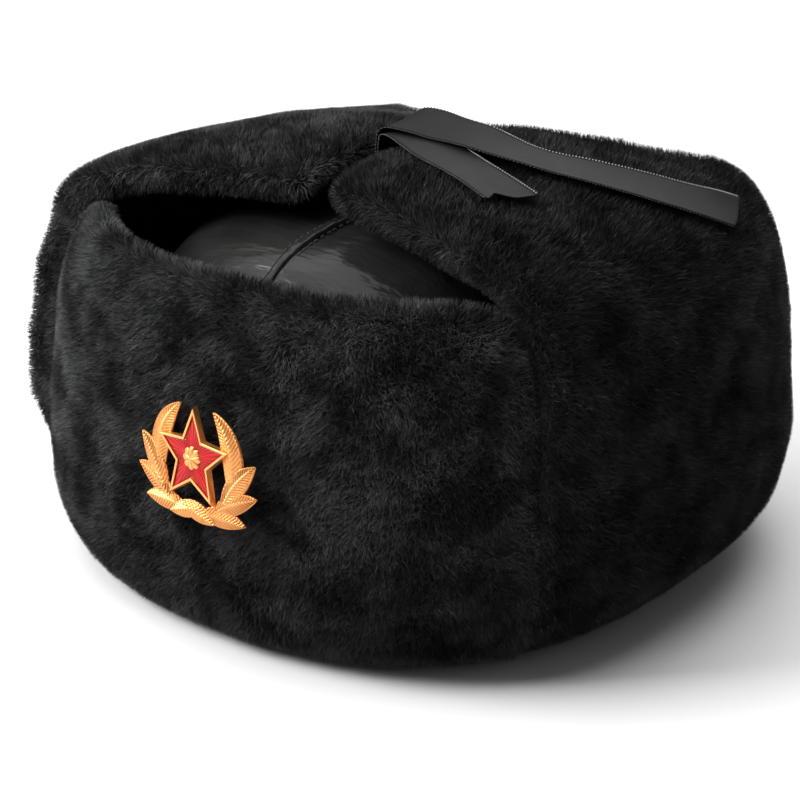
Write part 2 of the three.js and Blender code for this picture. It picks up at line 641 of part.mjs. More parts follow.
const hat = new THREE.Group();
const crown = geometryOf(solidOf(crownGeometry()).add(solidOf(weltGeometry())));
hat.add(
  piece("crown", crown, SMOOTH_LEATHER),
  piece("front_flap", slottedFrontFlap(), FUR),
  piece("ear_flap_left", earFlapGeometry(1), FUR),
  piece("ear_flap_right", earFlapGeometry(-1), FUR),
  piece("tie_ribbon_long", ribbonGeometry(LONG_TIE, RIBBON.longStations), SATIN),
  piece("tie_ribbon_short", ribbonGeometry(SHORT_TIE, RIBBON.shortStations), SATIN),
  piece("badge", badgeGeometry(), GILT),
  piece("badge_enamel", enamelGeometry(), RED_ENAMEL),
);

// The origin is the middle of the bounding box at the rim.
const bounds = new THREE.Box3().setFromObject(hat);
const middle = bounds.getCenter(new THREE.Vector3());
for (const mesh of hat.children) {
  mesh.geometry.translate(-middle.x, -middle.y, -bounds.min.z);
}

export default hat;
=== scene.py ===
"""A black fur hat with a leather crown, its flaps tied up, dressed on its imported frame.

Metres, +Z up, the wearer looks along -Y. The hat stands on its rim on a pale floor.
"""

import logging
import math
from collections.abc import Callable
from dataclasses import dataclass, field
from enum import Enum

import bmesh
import bpy
import numpy as np
from mathutils import Matrix, Vector
from mathutils.bvhtree import BVHTree


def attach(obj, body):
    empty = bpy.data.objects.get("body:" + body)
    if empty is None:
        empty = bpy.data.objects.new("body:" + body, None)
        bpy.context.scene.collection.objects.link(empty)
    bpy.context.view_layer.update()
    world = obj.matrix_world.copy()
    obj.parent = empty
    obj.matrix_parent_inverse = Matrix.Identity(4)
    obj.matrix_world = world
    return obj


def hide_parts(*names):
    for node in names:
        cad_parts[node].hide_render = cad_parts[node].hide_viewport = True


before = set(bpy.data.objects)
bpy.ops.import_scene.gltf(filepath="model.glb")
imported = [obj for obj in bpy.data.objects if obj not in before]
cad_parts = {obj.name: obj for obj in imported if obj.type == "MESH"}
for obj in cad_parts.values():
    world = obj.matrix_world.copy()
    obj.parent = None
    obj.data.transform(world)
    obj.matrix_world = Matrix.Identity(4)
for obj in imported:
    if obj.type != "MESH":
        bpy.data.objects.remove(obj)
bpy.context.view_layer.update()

LOG = logging.getLogger("hat")
MM = 0.001
BODY = "root"
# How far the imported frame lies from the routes' own origin, on X and Y.
SHIFT = Vector((0.975 * MM, -5.84 * MM, 0.0))
# Inside the head hollow: what faces away from here faces out of the hat.
HEAD_MIDDLE = np.array([0.0, 0.0, 0.06])
Colour = tuple[float, float, float, float]


# Shader graphs


def operator(kind: str, swapped: bool = False) -> Callable:
    """One of Python's operators as a Math node.

    Args:
        kind: the node's operation.
        swapped: whether the wire is the second of the two, as in 1 - wire.

    Returns:
        The method for the class.
    """

    def method(wire: "Wire", other: "Wire | float") -> "Wire":
        """Adds the node and returns its result."""
        return wire.math(kind, *((other, wire) if swapped else (wire, other)))

    return method


class Wire:
    """A number in a material's graph, with Python's operators on it."""

    __add__ = __radd__ = operator("ADD")
    __sub__ = operator("SUBTRACT")
    __rsub__ = operator("SUBTRACT", swapped=True)
    __mul__ = __rmul__ = operator("MULTIPLY")
    __pow__ = operator("POWER")

    def __init__(self, graph: "Graph", socket: bpy.types.NodeSocket) -> None:
        """Args: graph: the graph that owns the socket; socket: the output that gives the number."""
        self.graph = graph
        self.socket = socket

    def math(self, kind: str, *values: "Wire | float") -> "Wire":
        """Adds one Math node.

        Args:
            kind: the node's operation.
            values: its inputs in order, wires or plain numbers.

        Returns:
            The node's result.
        """
        node = self.graph.node("ShaderNodeMath", {"operation": kind}, dict(enumerate(values)))
        return Wire(self.graph, node.outputs[0])

    def sine(self) -> "Wire":
        """The sine of the number, in radians."""
        return self.math("SINE", self)

    def magnitude(self) -> "Wire":
        """The number without its sign."""
        return self.math("ABSOLUTE", self)

    def ramp(self, low: float, high: float) -> "Wire":
        """A smooth rise from 0 to 1.

        Args:
            low: where it begins.
            high: where it ends.

        Returns:
            The eased share.
        """
        settings = {"interpolation_type": "SMOOTHSTEP"}
        inputs = {"Value": self, "From Min": low, "From Max": high}
        node = self.graph.node("ShaderNodeMapRange", settings, inputs)
        return Wire(self.graph, node.outputs["Result"])


class Graph:
    """A material's nodes round one Principled shader."""

    def __init__(self, name: str) -> None:
        """Args: name: the material's name."""
        self.material = bpy.data.materials.new(name)
        self.material.use_nodes = True
        self.tree = self.material.node_tree
        self.shader = next(n for n in self.tree.nodes if n.type == "BSDF_PRINCIPLED")

    def node(self, kind: str, settings: dict | None, inputs: dict | None) -> bpy.types.Node:
        """Adds a node, sets it up and then fills its sockets.

        Args:
            kind: the node's type.
            settings: its own properties.
            inputs: a value, socket or Wire for each input's name or number.

        Returns:
            The node.
        """
        node = self.tree.nodes.new(kind)
        for name, value in (settings or {}).items():
            setattr(node, name, value)
        for name, value in (inputs or {}).items():
            self.feed(node.inputs[name], value)
        return node

    def feed(self, socket: bpy.types.NodeSocket, value: object) -> None:
        """Links or sets one input.

        Args:
            socket: the input.
            value: a Wire, an output socket or a plain value.
        """
        if isinstance(value, Wire):
            value = value.socket
        if isinstance(value, bpy.types.NodeSocket):
            self.tree.links.new(value, socket)
        else:
            socket.default_value = value

    def place(self, scale: tuple = (1, 1, 1), turn: float = 0.0) -> bpy.types.NodeSocket:
        """Object coordinates in metres.

        Args:
            scale: the factor on each axis.
            turn: the turn about Z, in radians.

        Returns:
            The coordinates, turned and scaled.
        """
        at = self.node("ShaderNodeTexCoord", None, None).outputs["Object"]
        inputs = {"Vector": at, "Scale": scale, "Rotation": (0, 0, turn)}
        return self.node("ShaderNodeMapping", None, inputs).outputs[0]

    def noise(self, size: float, detail: float, rough: float = 0.5, **place: object) -> Wire:
        """Soft noise from 0 to 1.

        Args:
            size: how wide its patches are, in metres.
            detail: how many finer layers it has.
            rough: how strong the finer layers are.
            place: how the coordinates are scaled and turned.

        Returns:
            The noise.
        """
        inputs = {"Vector": self.place(**place), "Scale": 1 / size, "Detail": detail, "Roughness": rough}
        return Wire(self, self.node("ShaderNodeTexNoise", None, inputs).outputs["Fac"])

    def axis(self, index: int, **place: object) -> Wire:
        """One of the coordinates, in metres: 0 for X, 1 for Y, 2 for Z."""
        return Wire(self, self.node("ShaderNodeSeparateXYZ", None, {0: self.place(**place)}).outputs[index])

    def attribute(self, name: str) -> Wire:
        """A number that the mesh carries under this name."""
        settings = {"attribute_name": name, "attribute_type": "GEOMETRY"}
        return Wire(self, self.node("ShaderNodeAttribute", settings, None).outputs["Fac"])

    def blend(self, share: Wire, first: tuple, second: object) -> bpy.types.NodeSocket:
        """A colour between two.

        Args:
            share: 0 for the first colour, 1 for the second.
            first: the first colour, or a socket.
            second: the second colour, or a socket.

        Returns:
            The mixed colour.
        """
        inputs = {"Factor": share, 6: first, 7: second}
        return self.node("ShaderNodeMix", {"data_type": "RGBA"}, inputs).outputs[2]

    def relief(self, *layers: tuple[Wire, float, float]) -> bpy.types.NodeSocket:
        """A bumped normal.

        Args:
            layers: the height from 0 to 1, the depth in metres and the strength of each
                relief, the lowest first.

        Returns:
            The normal.
        """
        under: dict = {}
        for height, depth, strength in layers:
            inputs = {"Height": height, "Distance": depth, "Strength": strength} | under
            under = {"Normal": self.node("ShaderNodeBump", None, inputs).outputs[0]}
        return under["Normal"]

    def finish(self, **values: object) -> bpy.types.Material:
        """Fills the shader's own sockets.

        Args:
            values: a value or link for each socket, named with underscores for spaces.

        Returns:
            The material.
        """
        for name, value in values.items():
            self.feed(self.shader.inputs[name.replace("_", " ")], value)
        return self.material


# Finishes


def grey(level: float, warmth: float = 0.0) -> Colour:
    """A near-grey colour.

    Args:
        level: its brightness.
        warmth: how far red is above it and blue below, as a share.

    Returns:
        The colour.
    """
    return (level * (1 + warmth), level, level * (1 - warmth), 1.0)


@dataclass(frozen=True)
class UnderFur:
    """The dense wool between the hairs."""

    dark: float = 0.012
    light: float = 0.045

    def make(self) -> bpy.types.Material:
        """Returns the material."""
        g = Graph("under_fur")
        patches = g.noise(9 * MM, 4)
        strands = g.noise(0.5 * MM, 2, scale=(1, 1, 0.25))
        return g.finish(
            Base_Color=g.blend(patches * strands, grey(self.dark), grey(self.light, 0.05)),
            Roughness=0.9,
            Specular_IOR_Level=0.2,
            Normal=g.relief((strands, 0.4 * MM, 1.0)),
        )


@dataclass(frozen=True)
class Pile:
    """The hairs: black at the root, a little paler at the tip and in patches; each flap's tip colour also
    carries painted light.

    Painted shade makes them darkest at the rim, fading out by the rim shade's height. A few are bleached.
    """

    name: str
    # The tips' colour also carries painted light: each flap has its own, paler where that flap is lit and
    # darker where it is shaded.
    tip: float
    root: float = 0.004
    bleached: float = 0.25
    stray_share: float = 0.015
    # Painted shade towards the rim: full brightness from this height up, and this share of it at the rim.
    rim_shade_height: float = 70 * MM
    rim_shade_level: float = 0.38

    def make(self) -> bpy.types.Material:
        """Returns the material."""
        g = Graph(self.name)
        patches = g.noise(18 * MM, 5, rough=0.6).ramp(0.38, 0.64)
        # Painted shade, not wear: this factor darkens the hairs towards the rim, where the flap curves under.
        worn = g.axis(2).ramp(0.0, self.rim_shade_height) * (1 - self.rim_shade_level) + self.rim_shade_level
        lightness = (g.attribute("reach") * 0.3 + 0.7) * (patches * 0.8 + 0.2) * worn
        hair = g.blend(lightness, grey(self.root, -0.03), grey(self.tip, -0.02))
        stray = g.attribute("shade").ramp(1 - self.stray_share, 1.0) * g.attribute("reach")
        return g.finish(
            Base_Color=g.blend(stray, hair, grey(self.bleached, 0.08)),
            Roughness=0.6,
            Specular_IOR_Level=0.2,
        )


@dataclass(frozen=True)
class Leather:
    """Thin black garment leather with pores, fine creases and broad pulls."""

    colour: float = 0.010
    worn: float = 0.018
    crease_turn: float = 0.25
    pull_turn: float = -0.35

    def make(self) -> bpy.types.Material:
        """Returns the material."""
        g = Graph("crown_leather")
        pores = g.noise(0.9 * MM, 3)
        creases = g.noise(3.4 * MM, 4, 0.6, scale=(0.32, 1, 1), turn=self.crease_turn)
        pulls = g.noise(9 * MM, 3, 0.55, scale=(0.25, 1, 1), turn=self.pull_turn)
        soft = g.noise(30 * MM, 2)
        return g.finish(
            Base_Color=g.blend(soft.ramp(0.3, 0.75), grey(self.colour), grey(self.worn, 0.03)),
            Roughness=soft * 0.1 + 0.19,
            Specular_IOR_Level=0.17,
            Normal=g.relief((pulls, 1.7 * MM, 0.9), (creases, 0.28 * MM, 0.8), (pores, 0.05 * MM, 0.6)),
        )


@dataclass(frozen=True)
class Lining:
    """Black lining satin, quilted in diamonds."""

    pitch: float = 24 * MM

    def make(self) -> bpy.types.Material:
        """Returns the material."""
        g = Graph("crown_lining")
        x, y = ((g.axis(i, turn=math.pi / 4) * (math.pi / self.pitch)).sine().magnitude() for i in (0, 1))
        quilt = (x * y) ** 0.35
        weave = g.noise(0.6 * MM, 2)
        return g.finish(
            Base_Color=g.blend(quilt, grey(0.006), grey(0.022, 0.03)),
            Roughness=0.42,
            Normal=g.relief((quilt, 1.6 * MM, 0.7), (weave, 0.03 * MM, 0.6)),
        )


@dataclass(frozen=True)
class Thread:
    """Twisted sewing thread."""

    name: str = "black_thread"
    colour: float = 0.03

    def make(self) -> bpy.types.Material:
        """Returns the material."""
        g = Graph(self.name)
        twist = g.noise(0.35 * MM, 2, scale=(1, 0.4, 1))
        return g.finish(
            Base_Color=g.blend(twist, grey(self.colour * 0.5), grey(self.colour, 0.05)),
            Roughness=0.5,
            Normal=g.relief((twist, 0.1 * MM, 1.0)),
        )


@dataclass(frozen=True)
class Satin:
    """Ribbon satin: fine ribs across, a soft sheen and a bound edge."""

    dark: float = 0.006
    light: float = 0.012
    rib_pitch: float = 2 / 2.6 * MM

    def make(self) -> bpy.types.Material:
        """Returns the material."""
        g = Graph("ribbon_satin")
        ribs = (g.attribute("along") * (2 * math.pi / self.rib_pitch)).sine() * 0.5 + 0.5
        edge = g.attribute("across").ramp(0.88, 0.93)
        slub = g.noise(6 * MM, 3, rough=0.6)
        colour = g.blend(slub * 0.7 + ribs * 0.3, grey(self.dark), grey(self.light, 0.03))
        colour = g.blend(edge * 0.6, colour, grey(self.light * 0.8, 0.02))
        return g.finish(
            Base_Color=colour,
            Roughness=slub * 0.1 + 0.5 + edge * 0.15,
            Specular_IOR_Level=0.07,
            Normal=g.relief((slub, 0.15 * MM, 0.6), (ribs, 0.04 * MM, 0.5)),
        )


@dataclass(frozen=True)
class Gilt:
    """Bright gilt on a cast badge, with painted shade in its hollows and duller worn patches."""

    bright: Colour = (0.86, 0.39, 0.14, 1.0)
    shade_and_wear: Colour = (0.5, 0.15, 0.025, 1.0)

    def make(self) -> bpy.types.Material:
        """Returns the material."""
        g = Graph("badge_gilt")
        wear = g.noise(2.4 * MM, 4)
        grain = g.noise(0.35 * MM, 2)
        # Painted shade: the hollow attribute darkens the gilt in its recesses; the wear noise adds duller
        # worn patches.
        share = (g.attribute("hollow") * 0.8 + wear.ramp(0.35, 0.8) * 0.3).ramp(0.0, 1.0)
        return g.finish(
            Base_Color=g.blend(share, self.bright, self.shade_and_wear),
            Metallic=1.0,
            Roughness=wear * 0.14 + 0.33,
            Normal=g.relief((grain, 0.02 * MM, 0.5)),
        )


@dataclass(frozen=True)
class Enamel:
    """Translucent red enamel over fine rays, darker where it lies deep."""

    bright: Colour = (0.66, 0.009, 0.010, 1.0)
    deep: Colour = (0.24, 0.001, 0.003, 1.0)

    def make(self) -> bpy.types.Material:
        """Returns the material."""
        g = Graph("badge_enamel")
        cloud = g.noise(3 * MM, 3)
        share = (g.attribute("hollow") * 0.8 + cloud * 0.25).ramp(0.05, 0.95)
        return g.finish(
            Base_Color=g.blend(share, self.bright, self.deep),
            Roughness=0.35,
            Specular_IOR_Level=0.15,
            Coat_Weight=0.12,
            Coat_Roughness=0.08,
        )


@dataclass(frozen=True)
class PaleFloor:
    """A plain pale studio floor."""

    level: float = 0.86

    def make(self) -> bpy.types.Material:
        """Returns the material."""
        g = Graph("pale_floor")
        haze = g.noise(0.4, 2)
        colour = g.blend(haze, grey(self.level), grey(self.level * 1.02))
        return g.finish(Base_Color=colour, Roughness=0.7)


# Mesh helpers


class Stretch(Enum):
    """The stretches of a flap's hairs, each a piece of its own."""

    FRONT = "front"
    TOP = "top"
    SIDE = "side"
    BACK = "back"


def new_piece(
    name: str, bm: bmesh.types.BMesh, materials: list[bpy.types.Material], smooth: bool = True
) -> bpy.types.Object:
    """Makes an object from a bmesh and frees the bmesh.

    Args:
        name: the piece's name.
        bm: its mesh.
        materials: its materials, in slot order.
        smooth: whether its faces are shaded smoothly.

    Returns:
        The object, in the scene.
    """
    mesh = bpy.data.meshes.new(name)
    bm.to_mesh(mesh)
    bm.free()
    mesh.polygons.foreach_set("use_smooth", [smooth] * len(mesh.polygons))
    for material in materials:
        mesh.materials.append(material)
    obj = bpy.data.objects.new(name, mesh)
    bpy.context.scene.collection.objects.link(obj)
    return obj


def corner_places(mesh: bpy.types.Mesh) -> np.ndarray:
    """The mesh's vertices as rows of x, y, z."""
    places = np.empty(len(mesh.vertices) * 3, np.float32)
    mesh.vertices.foreach_get("co", places)
    return places.reshape(-1, 3)


def carry(mesh: bpy.types.Mesh, name: str, values: np.ndarray) -> None:
    """Gives each vertex a number that a material can read.

    Args:
        mesh: the mesh.
        name: the number's name.
        values: one number for each vertex.
    """
    mesh.attributes.new(name, "FLOAT", "POINT").data.foreach_set("value", values.astype(np.float32))


def dress(obj: bpy.types.Object, stands_for: str | None = None) -> bpy.types.Object:
    """Args:
        obj: the piece.
        stands_for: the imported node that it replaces, if it replaces one.

    Returns:
        The piece.
    """
    if stands_for:
        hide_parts(stands_for)
    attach(obj, BODY)
    LOG.info("%s: %d faces", obj.name, len(obj.data.polygons))
    return obj


def smooth_noise(places: np.ndarray, cell: float, seed: int) -> np.ndarray:
    """Three smooth random numbers for each place, from -1 to 1.

    Args:
        places: rows of x, y, z.
        cell: how wide the noise's patches are, in metres.
        seed: picks the pattern.

    Returns:
        Rows of three numbers.
    """
    count, far = 48, 500.0
    table = np.random.default_rng(seed).uniform(-1, 1, (count, count, count, 3)).astype(np.float32)
    at = places / cell + far
    low = np.floor(at).astype(np.int64)
    part = at - low
    part = part * part * (3 - 2 * part)
    total = np.zeros((len(places), 3), np.float32)
    for corner in range(8):
        step = np.array([corner & 1, corner >> 1 & 1, corner >> 2 & 1])
        weight = np.prod(np.where(step, part, 1 - part), axis=1)
        index = (low + step) % count
        total += table[index[:, 0], index[:, 1], index[:, 2]] * weight[:, None].astype(np.float32)
    return total


def unit(rows: np.ndarray) -> np.ndarray:
    """The rows as directions of length 1."""
    return rows / np.maximum(np.linalg.norm(rows, axis=1, keepdims=True), 1e-9)


def curve_rows(rows: list[tuple[float, ...]], count: int) -> np.ndarray:
    """A smooth curve through table rows, with even shares between them.

    Args:
        rows: the table, each row with the same columns.
        count: how many rows come back.

    Returns:
        The rows on the curve.
    """
    table = np.array(rows, float)
    place = np.linspace(0, len(table) - 1, count)
    index = np.minimum(place.astype(int), len(table) - 2)
    part = (place - index)[:, None]
    p0, p1, p2, p3 = (table[np.clip(index + step, 0, len(table) - 1)] for step in (-1, 0, 1, 2))
    inner = 2 * p0 - 5 * p1 + 4 * p2 - p3 + part * (3 * (p1 - p2) + p3 - p0)
    return p1 + 0.5 * part * (p2 - p0 + part * inner)


def eased(values: np.ndarray, low: float, high: float) -> np.ndarray:
    """A smooth rise from 0 to 1.

    Args:
        values: where it is read.
        low: where it begins.
        high: where it ends.

    Returns:
        The eased shares.
    """
    share = np.clip((values - low) / (high - low), 0, 1)
    return share * share * (3 - 2 * share)


def lengths(points: np.ndarray) -> np.ndarray:
    """The length of a line up to each of its points."""
    return np.concatenate([[0], np.cumsum(np.linalg.norm(np.diff(points, axis=0), axis=1))])


def evenly(
    rows: np.ndarray, places: int, count: int, start: float = 0.0, end: float = 1.0
) -> tuple[np.ndarray, np.ndarray]:
    """Rows in even steps along a line.

    Args:
        rows: the line, with other numbers after its places.
        places: how many of the columns give the place.
        count: how many rows come back.
        start: where they begin, as a share of the length.
        end: where they end.

    Returns:
        The rows, and the length up to each.
    """
    along = lengths(rows[:, :places])
    even = np.linspace(along[-1] * start, along[-1] * end, count)
    return np.stack([np.interp(even, along, column) for column in rows.T], axis=1), even


# Fur


def round_and_out(places: np.ndarray) -> tuple[np.ndarray, np.ndarray]:
    """The level ways at each place, along the hat's wall and straight out of it."""
    outward = unit((places - HEAD_MIDDLE) * [1, 1, 0])
    return np.stack([-outward[:, 1], outward[:, 0], np.zeros(len(places))], axis=1), outward


def facing_share(places: np.ndarray, normals: np.ndarray, low: float, high: float) -> np.ndarray:
    """How much each place on a wall faces along the wall, towards the flap beside it.

    Args:
        places: rows of x, y, z on a flap.
        normals: the flap's normal there.
        low: the share of the normal, along the wall, where it begins.
        high: the share where it is full.

    Returns:
        A share from 0 to 1 for each place, which fades out where the lappets begin.
    """
    along = round_and_out(places)[0]
    sideways = np.abs(np.sum(normals * along, axis=1))
    return eased(sideways, low, high) * (1 - eased(places[:, 2], 118 * MM, 130 * MM))


@dataclass(frozen=True)
class Pressing:
    """What lies on the fur and presses it down: its surface, and a box round each piece."""

    tree: BVHTree
    boxes: list[tuple[np.ndarray, np.ndarray]]

    def near(self, places: np.ndarray) -> np.ndarray:
        """Which places are in one of the boxes."""
        inside = [np.all((places > low) & (places < high), axis=1) for low, high in self.boxes]
        return np.any(inside, axis=0)


@dataclass
class FurFlap:
    """One fur flap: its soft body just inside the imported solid, and the hairs on it.

    Pairs of numbers are where something begins and where it is full.
    """

    node: str
    slot: str
    seed: int
    hairs: int
    body: bpy.types.Object | None = None
    voxel: float = 3.0 * MM
    first_passes: int = 7
    last_passes: int = 2
    pile: float = 3.3 * MM
    thin_share: float = 0.28
    shortest: float = 2.8 * MM
    hair_width: float = 0.37 * MM
    proud: float = 0.5 * MM
    lumps: float = 0.7 * MM
    sewn_within: tuple = (4.5 * MM, 8 * MM)
    seam_within: tuple = (7 * MM, 13 * MM)
    closing: float = 2.8 * MM
    corner_reach: float = 4.5 * MM
    corner_angles: tuple = (42, 52)
    corner_heights: tuple = (108 * MM, 122 * MM)
    leans: tuple = ((12 * MM, 0.34), (4.2 * MM, 0.12), (1.2 * MM, 0.16))
    stray_lean: float = 0.3
    hang: float = 0.08
    tuft: float = 4.6 * MM
    top_above: float = 119 * MM
    side_before: float = 45 * MM
    depth: np.ndarray = field(default_factory=lambda: np.zeros(0))
    near_seam: np.ndarray = field(default_factory=lambda: np.zeros(0))

    def make_body(self, material: bpy.types.Material, others: BVHTree) -> bpy.types.Object:
        """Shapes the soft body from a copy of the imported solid.

        Args:
            material: its finish.
            others: the flaps beside it.

        Returns:
            The body.
        """
        bm = bmesh.new()
        bm.from_mesh(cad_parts[self.node].data)
        bmesh.ops.remove_doubles(bm, verts=bm.verts, dist=1e-6)
        body = new_piece(self.node + "_body", bm, [material])
        even = body.modifiers.new("even", "REMESH")
        even.mode, even.voxel_size = "VOXEL", self.voxel
        bpy.context.view_layer.update()
        graph = bpy.context.evaluated_depsgraph_get()
        mesh = bpy.data.meshes.new_from_object(body.evaluated_get(graph))
        body.modifiers.clear()
        body.data = mesh
        bm = bmesh.new()
        bm.from_mesh(mesh)
        self.soften(bm, self.first_passes)
        self.draw_in(bm, others)
        self.soften(bm, self.last_passes)
        bm.to_mesh(mesh)
        bm.free()
        mesh.polygons.foreach_set("use_smooth", [True] * len(mesh.polygons))
        self.body = dress(body, self.node)
        return body

    def soften(self, bm: bmesh.types.BMesh, times: int) -> None:
        """Smooths the body.

        Args:
            bm: its mesh.
            times: how many passes.
        """
        axes = {"use_axis_x": True, "use_axis_y": True, "use_axis_z": True}
        for _ in range(times):
            bmesh.ops.smooth_vert(bm, verts=bm.verts, factor=0.5, **axes)

    def draw_in(self, bm: bmesh.types.BMesh, others: BVHTree) -> None:
        """Draws the body in by the pile's depth, or less where it is thin or sewn, and makes it uneven.

        Args:
            bm: its mesh.
            others: the flaps beside it.
        """
        bm.normal_update()
        tree = BVHTree.FromBMesh(bm)
        places = np.array([v.co for v in bm.verts])
        normals = np.array([v.normal for v in bm.verts])
        broad, fine = (smooth_noise(places, (21, 9)[i] * MM, self.seed + i)[:, 0] for i in (0, 1))
        uneven = self.lumps * (broad * 0.7 + fine * 0.3)
        apart = np.array([others.find_nearest(v.co)[3] for v in bm.verts])
        sewn = facing_share(places, normals, 0.45, 0.8) * (1 - eased(apart, *self.sewn_within))
        self.near_seam = facing_share(places, normals, 0.12, 0.5) * (1 - eased(apart, *self.seam_within))
        push = self.corner_push(places)
        self.depth = np.empty(len(places))
        for i, vert in enumerate(bm.verts):
            thickness = tree.ray_cast(vert.co - vert.normal * 0.1 * MM, -vert.normal)[3] or 1.0
            self.depth[i] = min(self.pile, self.thin_share * thickness) * (1 - sewn[i])
        for i, vert in enumerate(bm.verts):
            inwards = self.depth[i] + uneven[i] * (1 - sewn[i]) - self.closing * sewn[i]
            vert.co += Vector(push[i]) - vert.normal * inwards

    def corner_push(self, places: np.ndarray) -> np.ndarray:
        """How the front flap's upper corners lean out over the seams, so that no gap shows there.

        Args:
            places: rows of x, y, z on the body.

        Returns:
            The way that each place moves.
        """
        if self.node != "front_flap":
            return np.zeros_like(places)
        x, y = places[:, 0] - SHIFT.x, places[:, 1] - SHIFT.y
        angle = np.degrees(np.arctan2(np.abs(x), -y))
        share = eased(angle, *self.corner_angles) * eased(places[:, 2], *self.corner_heights)
        level = unit(np.stack([-y * np.sign(x), np.abs(x), np.zeros(len(x))], axis=1))
        return level * share[:, None] * self.corner_reach

    def exposure(self, places: np.ndarray, normals: np.ndarray, around: BVHTree) -> np.ndarray:
        """How open each place is to the outside.

        Args:
            places: rows of x, y, z on the body.
            normals: the body's normal there.
            around: what can hide it.

        Returns:
            For each place, the share of directions that meet nothing.
        """
        count, golden_angle, clear = 10, 2.399963, 0.6 * MM
        turn = np.arange(count) * golden_angle
        rise = np.linspace(0.95, 0.12, count)
        flat = np.sqrt(1 - rise * rise)
        rays = np.stack([flat * np.cos(turn), flat * np.sin(turn), rise], axis=1)
        side = unit(np.cross(normals, np.where(np.abs(normals[:, 2:]) > 0.8, [1.0, 0, 0], [0, 0, 1.0])))
        other = np.cross(normals, side)
        starts = places + normals * clear
        found = np.zeros(len(places))
        for ray in rays:
            ways = ray[0] * side + ray[1] * other + ray[2] * normals
            found += [around.ray_cast(start, way)[0] is None for start, way in zip(starts, ways)]
        return found / count

    def grow(self, material: bpy.types.Material, around: BVHTree, pressed: Pressing) -> None:
        """Grows the hairs on the open parts of the body.

        Args:
            material: their finish.
            around: what can hide the body.
            pressed: what lies on the fur and presses it down.
        """
        mesh = self.body.data
        mesh.calc_loop_triangles()
        triangles = np.empty(len(mesh.loop_triangles) * 3, np.int32)
        mesh.loop_triangles.foreach_get("vertices", triangles)
        triangles = triangles.reshape(-1, 3)
        places = corner_places(mesh).astype(float)
        normals = np.empty(len(places) * 3, np.float32)
        mesh.vertices.foreach_get("normal", normals)
        normals = normals.reshape(-1, 3).astype(float)
        open_to = self.exposure(places, normals, around)
        a, b, c = (places[triangles[:, i]] for i in range(3))
        area = 0.5 * np.linalg.norm(np.cross(b - a, c - a), axis=1)
        wanted = np.clip((open_to[triangles].mean(axis=1) - 0.06) / 0.2, 0, 1)
        total = np.cumsum(area * wanted)
        rng = np.random.default_rng(self.seed)
        picks = (np.arange(self.hairs) + rng.uniform(size=self.hairs)) / self.hairs * total[-1]
        chosen = np.minimum(np.searchsorted(total, picks), len(triangles) - 1)
        furred = total[-1] / MM**2
        LOG.info("%s: %.0f mm2 of fur, %.1f hairs a mm2", self.node, furred, self.hairs / furred)
        u, v = rng.uniform(size=(2, self.hairs))
        over = u + v > 1
        u[over], v[over] = 1 - u[over], 1 - v[over]
        weights = np.stack([1 - u - v, u, v], axis=1)[:, :, None]
        rows = np.column_stack([places, normals, self.depth, self.near_seam])
        rows = np.sum(weights * rows[triangles[chosen]], axis=1)
        root = rows[:, :3]
        tip, across = self.comb(root, unit(rows[:, 3:6]), rows[:, 6], rows[:, 7:], rng)
        tip = self.press(root, tip, pressed)
        self.plant(root, tip, across, rng, material)

    def comb(
        self,
        root: np.ndarray,
        normal: np.ndarray,
        depth: np.ndarray,
        near_seam: np.ndarray,
        rng: np.random.Generator,
    ) -> tuple[np.ndarray, np.ndarray]:
        """Lays the hairs, upright with a lean that changes in patches.

        Args:
            root: where each hair grows.
            normal: the body's normal there.
            depth: how deep the pile is there.
            near_seam: how near to a sewn end it is, in a column.
            rng: the source of chance.

        Returns:
            Each hair's tip, and the way its width runs.
        """
        aside = round_and_out(root)[0]
        facing = np.sum(normal * aside, axis=1, keepdims=True)
        normal = unit(normal - aside * facing * near_seam * 0.5)
        lean = np.zeros_like(root)
        for i, (cell, share) in enumerate(self.leans):
            lean += smooth_noise(root, cell, self.seed + 2 + i) * share
        lean += rng.normal(0, self.stray_lean, root.shape)
        lean[:, 2] -= self.hang
        lean -= normal * np.sum(lean * normal, axis=1, keepdims=True)
        way = unit(normal + lean)
        tufts = 0.13 * smooth_noise(root, self.tuft, self.seed + 5)[:, 0]
        tall = np.maximum(depth + self.proud, self.shortest)
        tall = tall * (0.98 + tufts) * rng.uniform(0.88, 1.02, len(root))
        tip = root + way * tall[:, None] / np.maximum(np.sum(way * normal, axis=1, keepdims=True), 0.6)
        tip[:, 2] = np.maximum(tip[:, 2], 0.25 * MM)
        return tip, unit(np.cross(way, rng.normal(size=root.shape)))

    def press(self, root: np.ndarray, tip: np.ndarray, pressed: Pressing) -> np.ndarray:
        """Keeps the hairs under what lies on them.

        Args:
            root: where each hair grows.
            tip: where it ends.
            pressed: what lies on the fur.

        Returns:
            The tips, drawn back where a hair would come through.
        """
        look_ahead, least, gap = 1.25, 0.12, 0.35 * MM
        reach = tip - root
        for i in np.flatnonzero(pressed.near(root + reach * look_ahead)):
            length = float(np.linalg.norm(reach[i]))
            distance = pressed.tree.ray_cast(root[i], reach[i] / length, length * look_ahead)[3]
            if distance is not None:
                tip[i] = root[i] + reach[i] * max(least, (distance - gap) / length)
        return tip

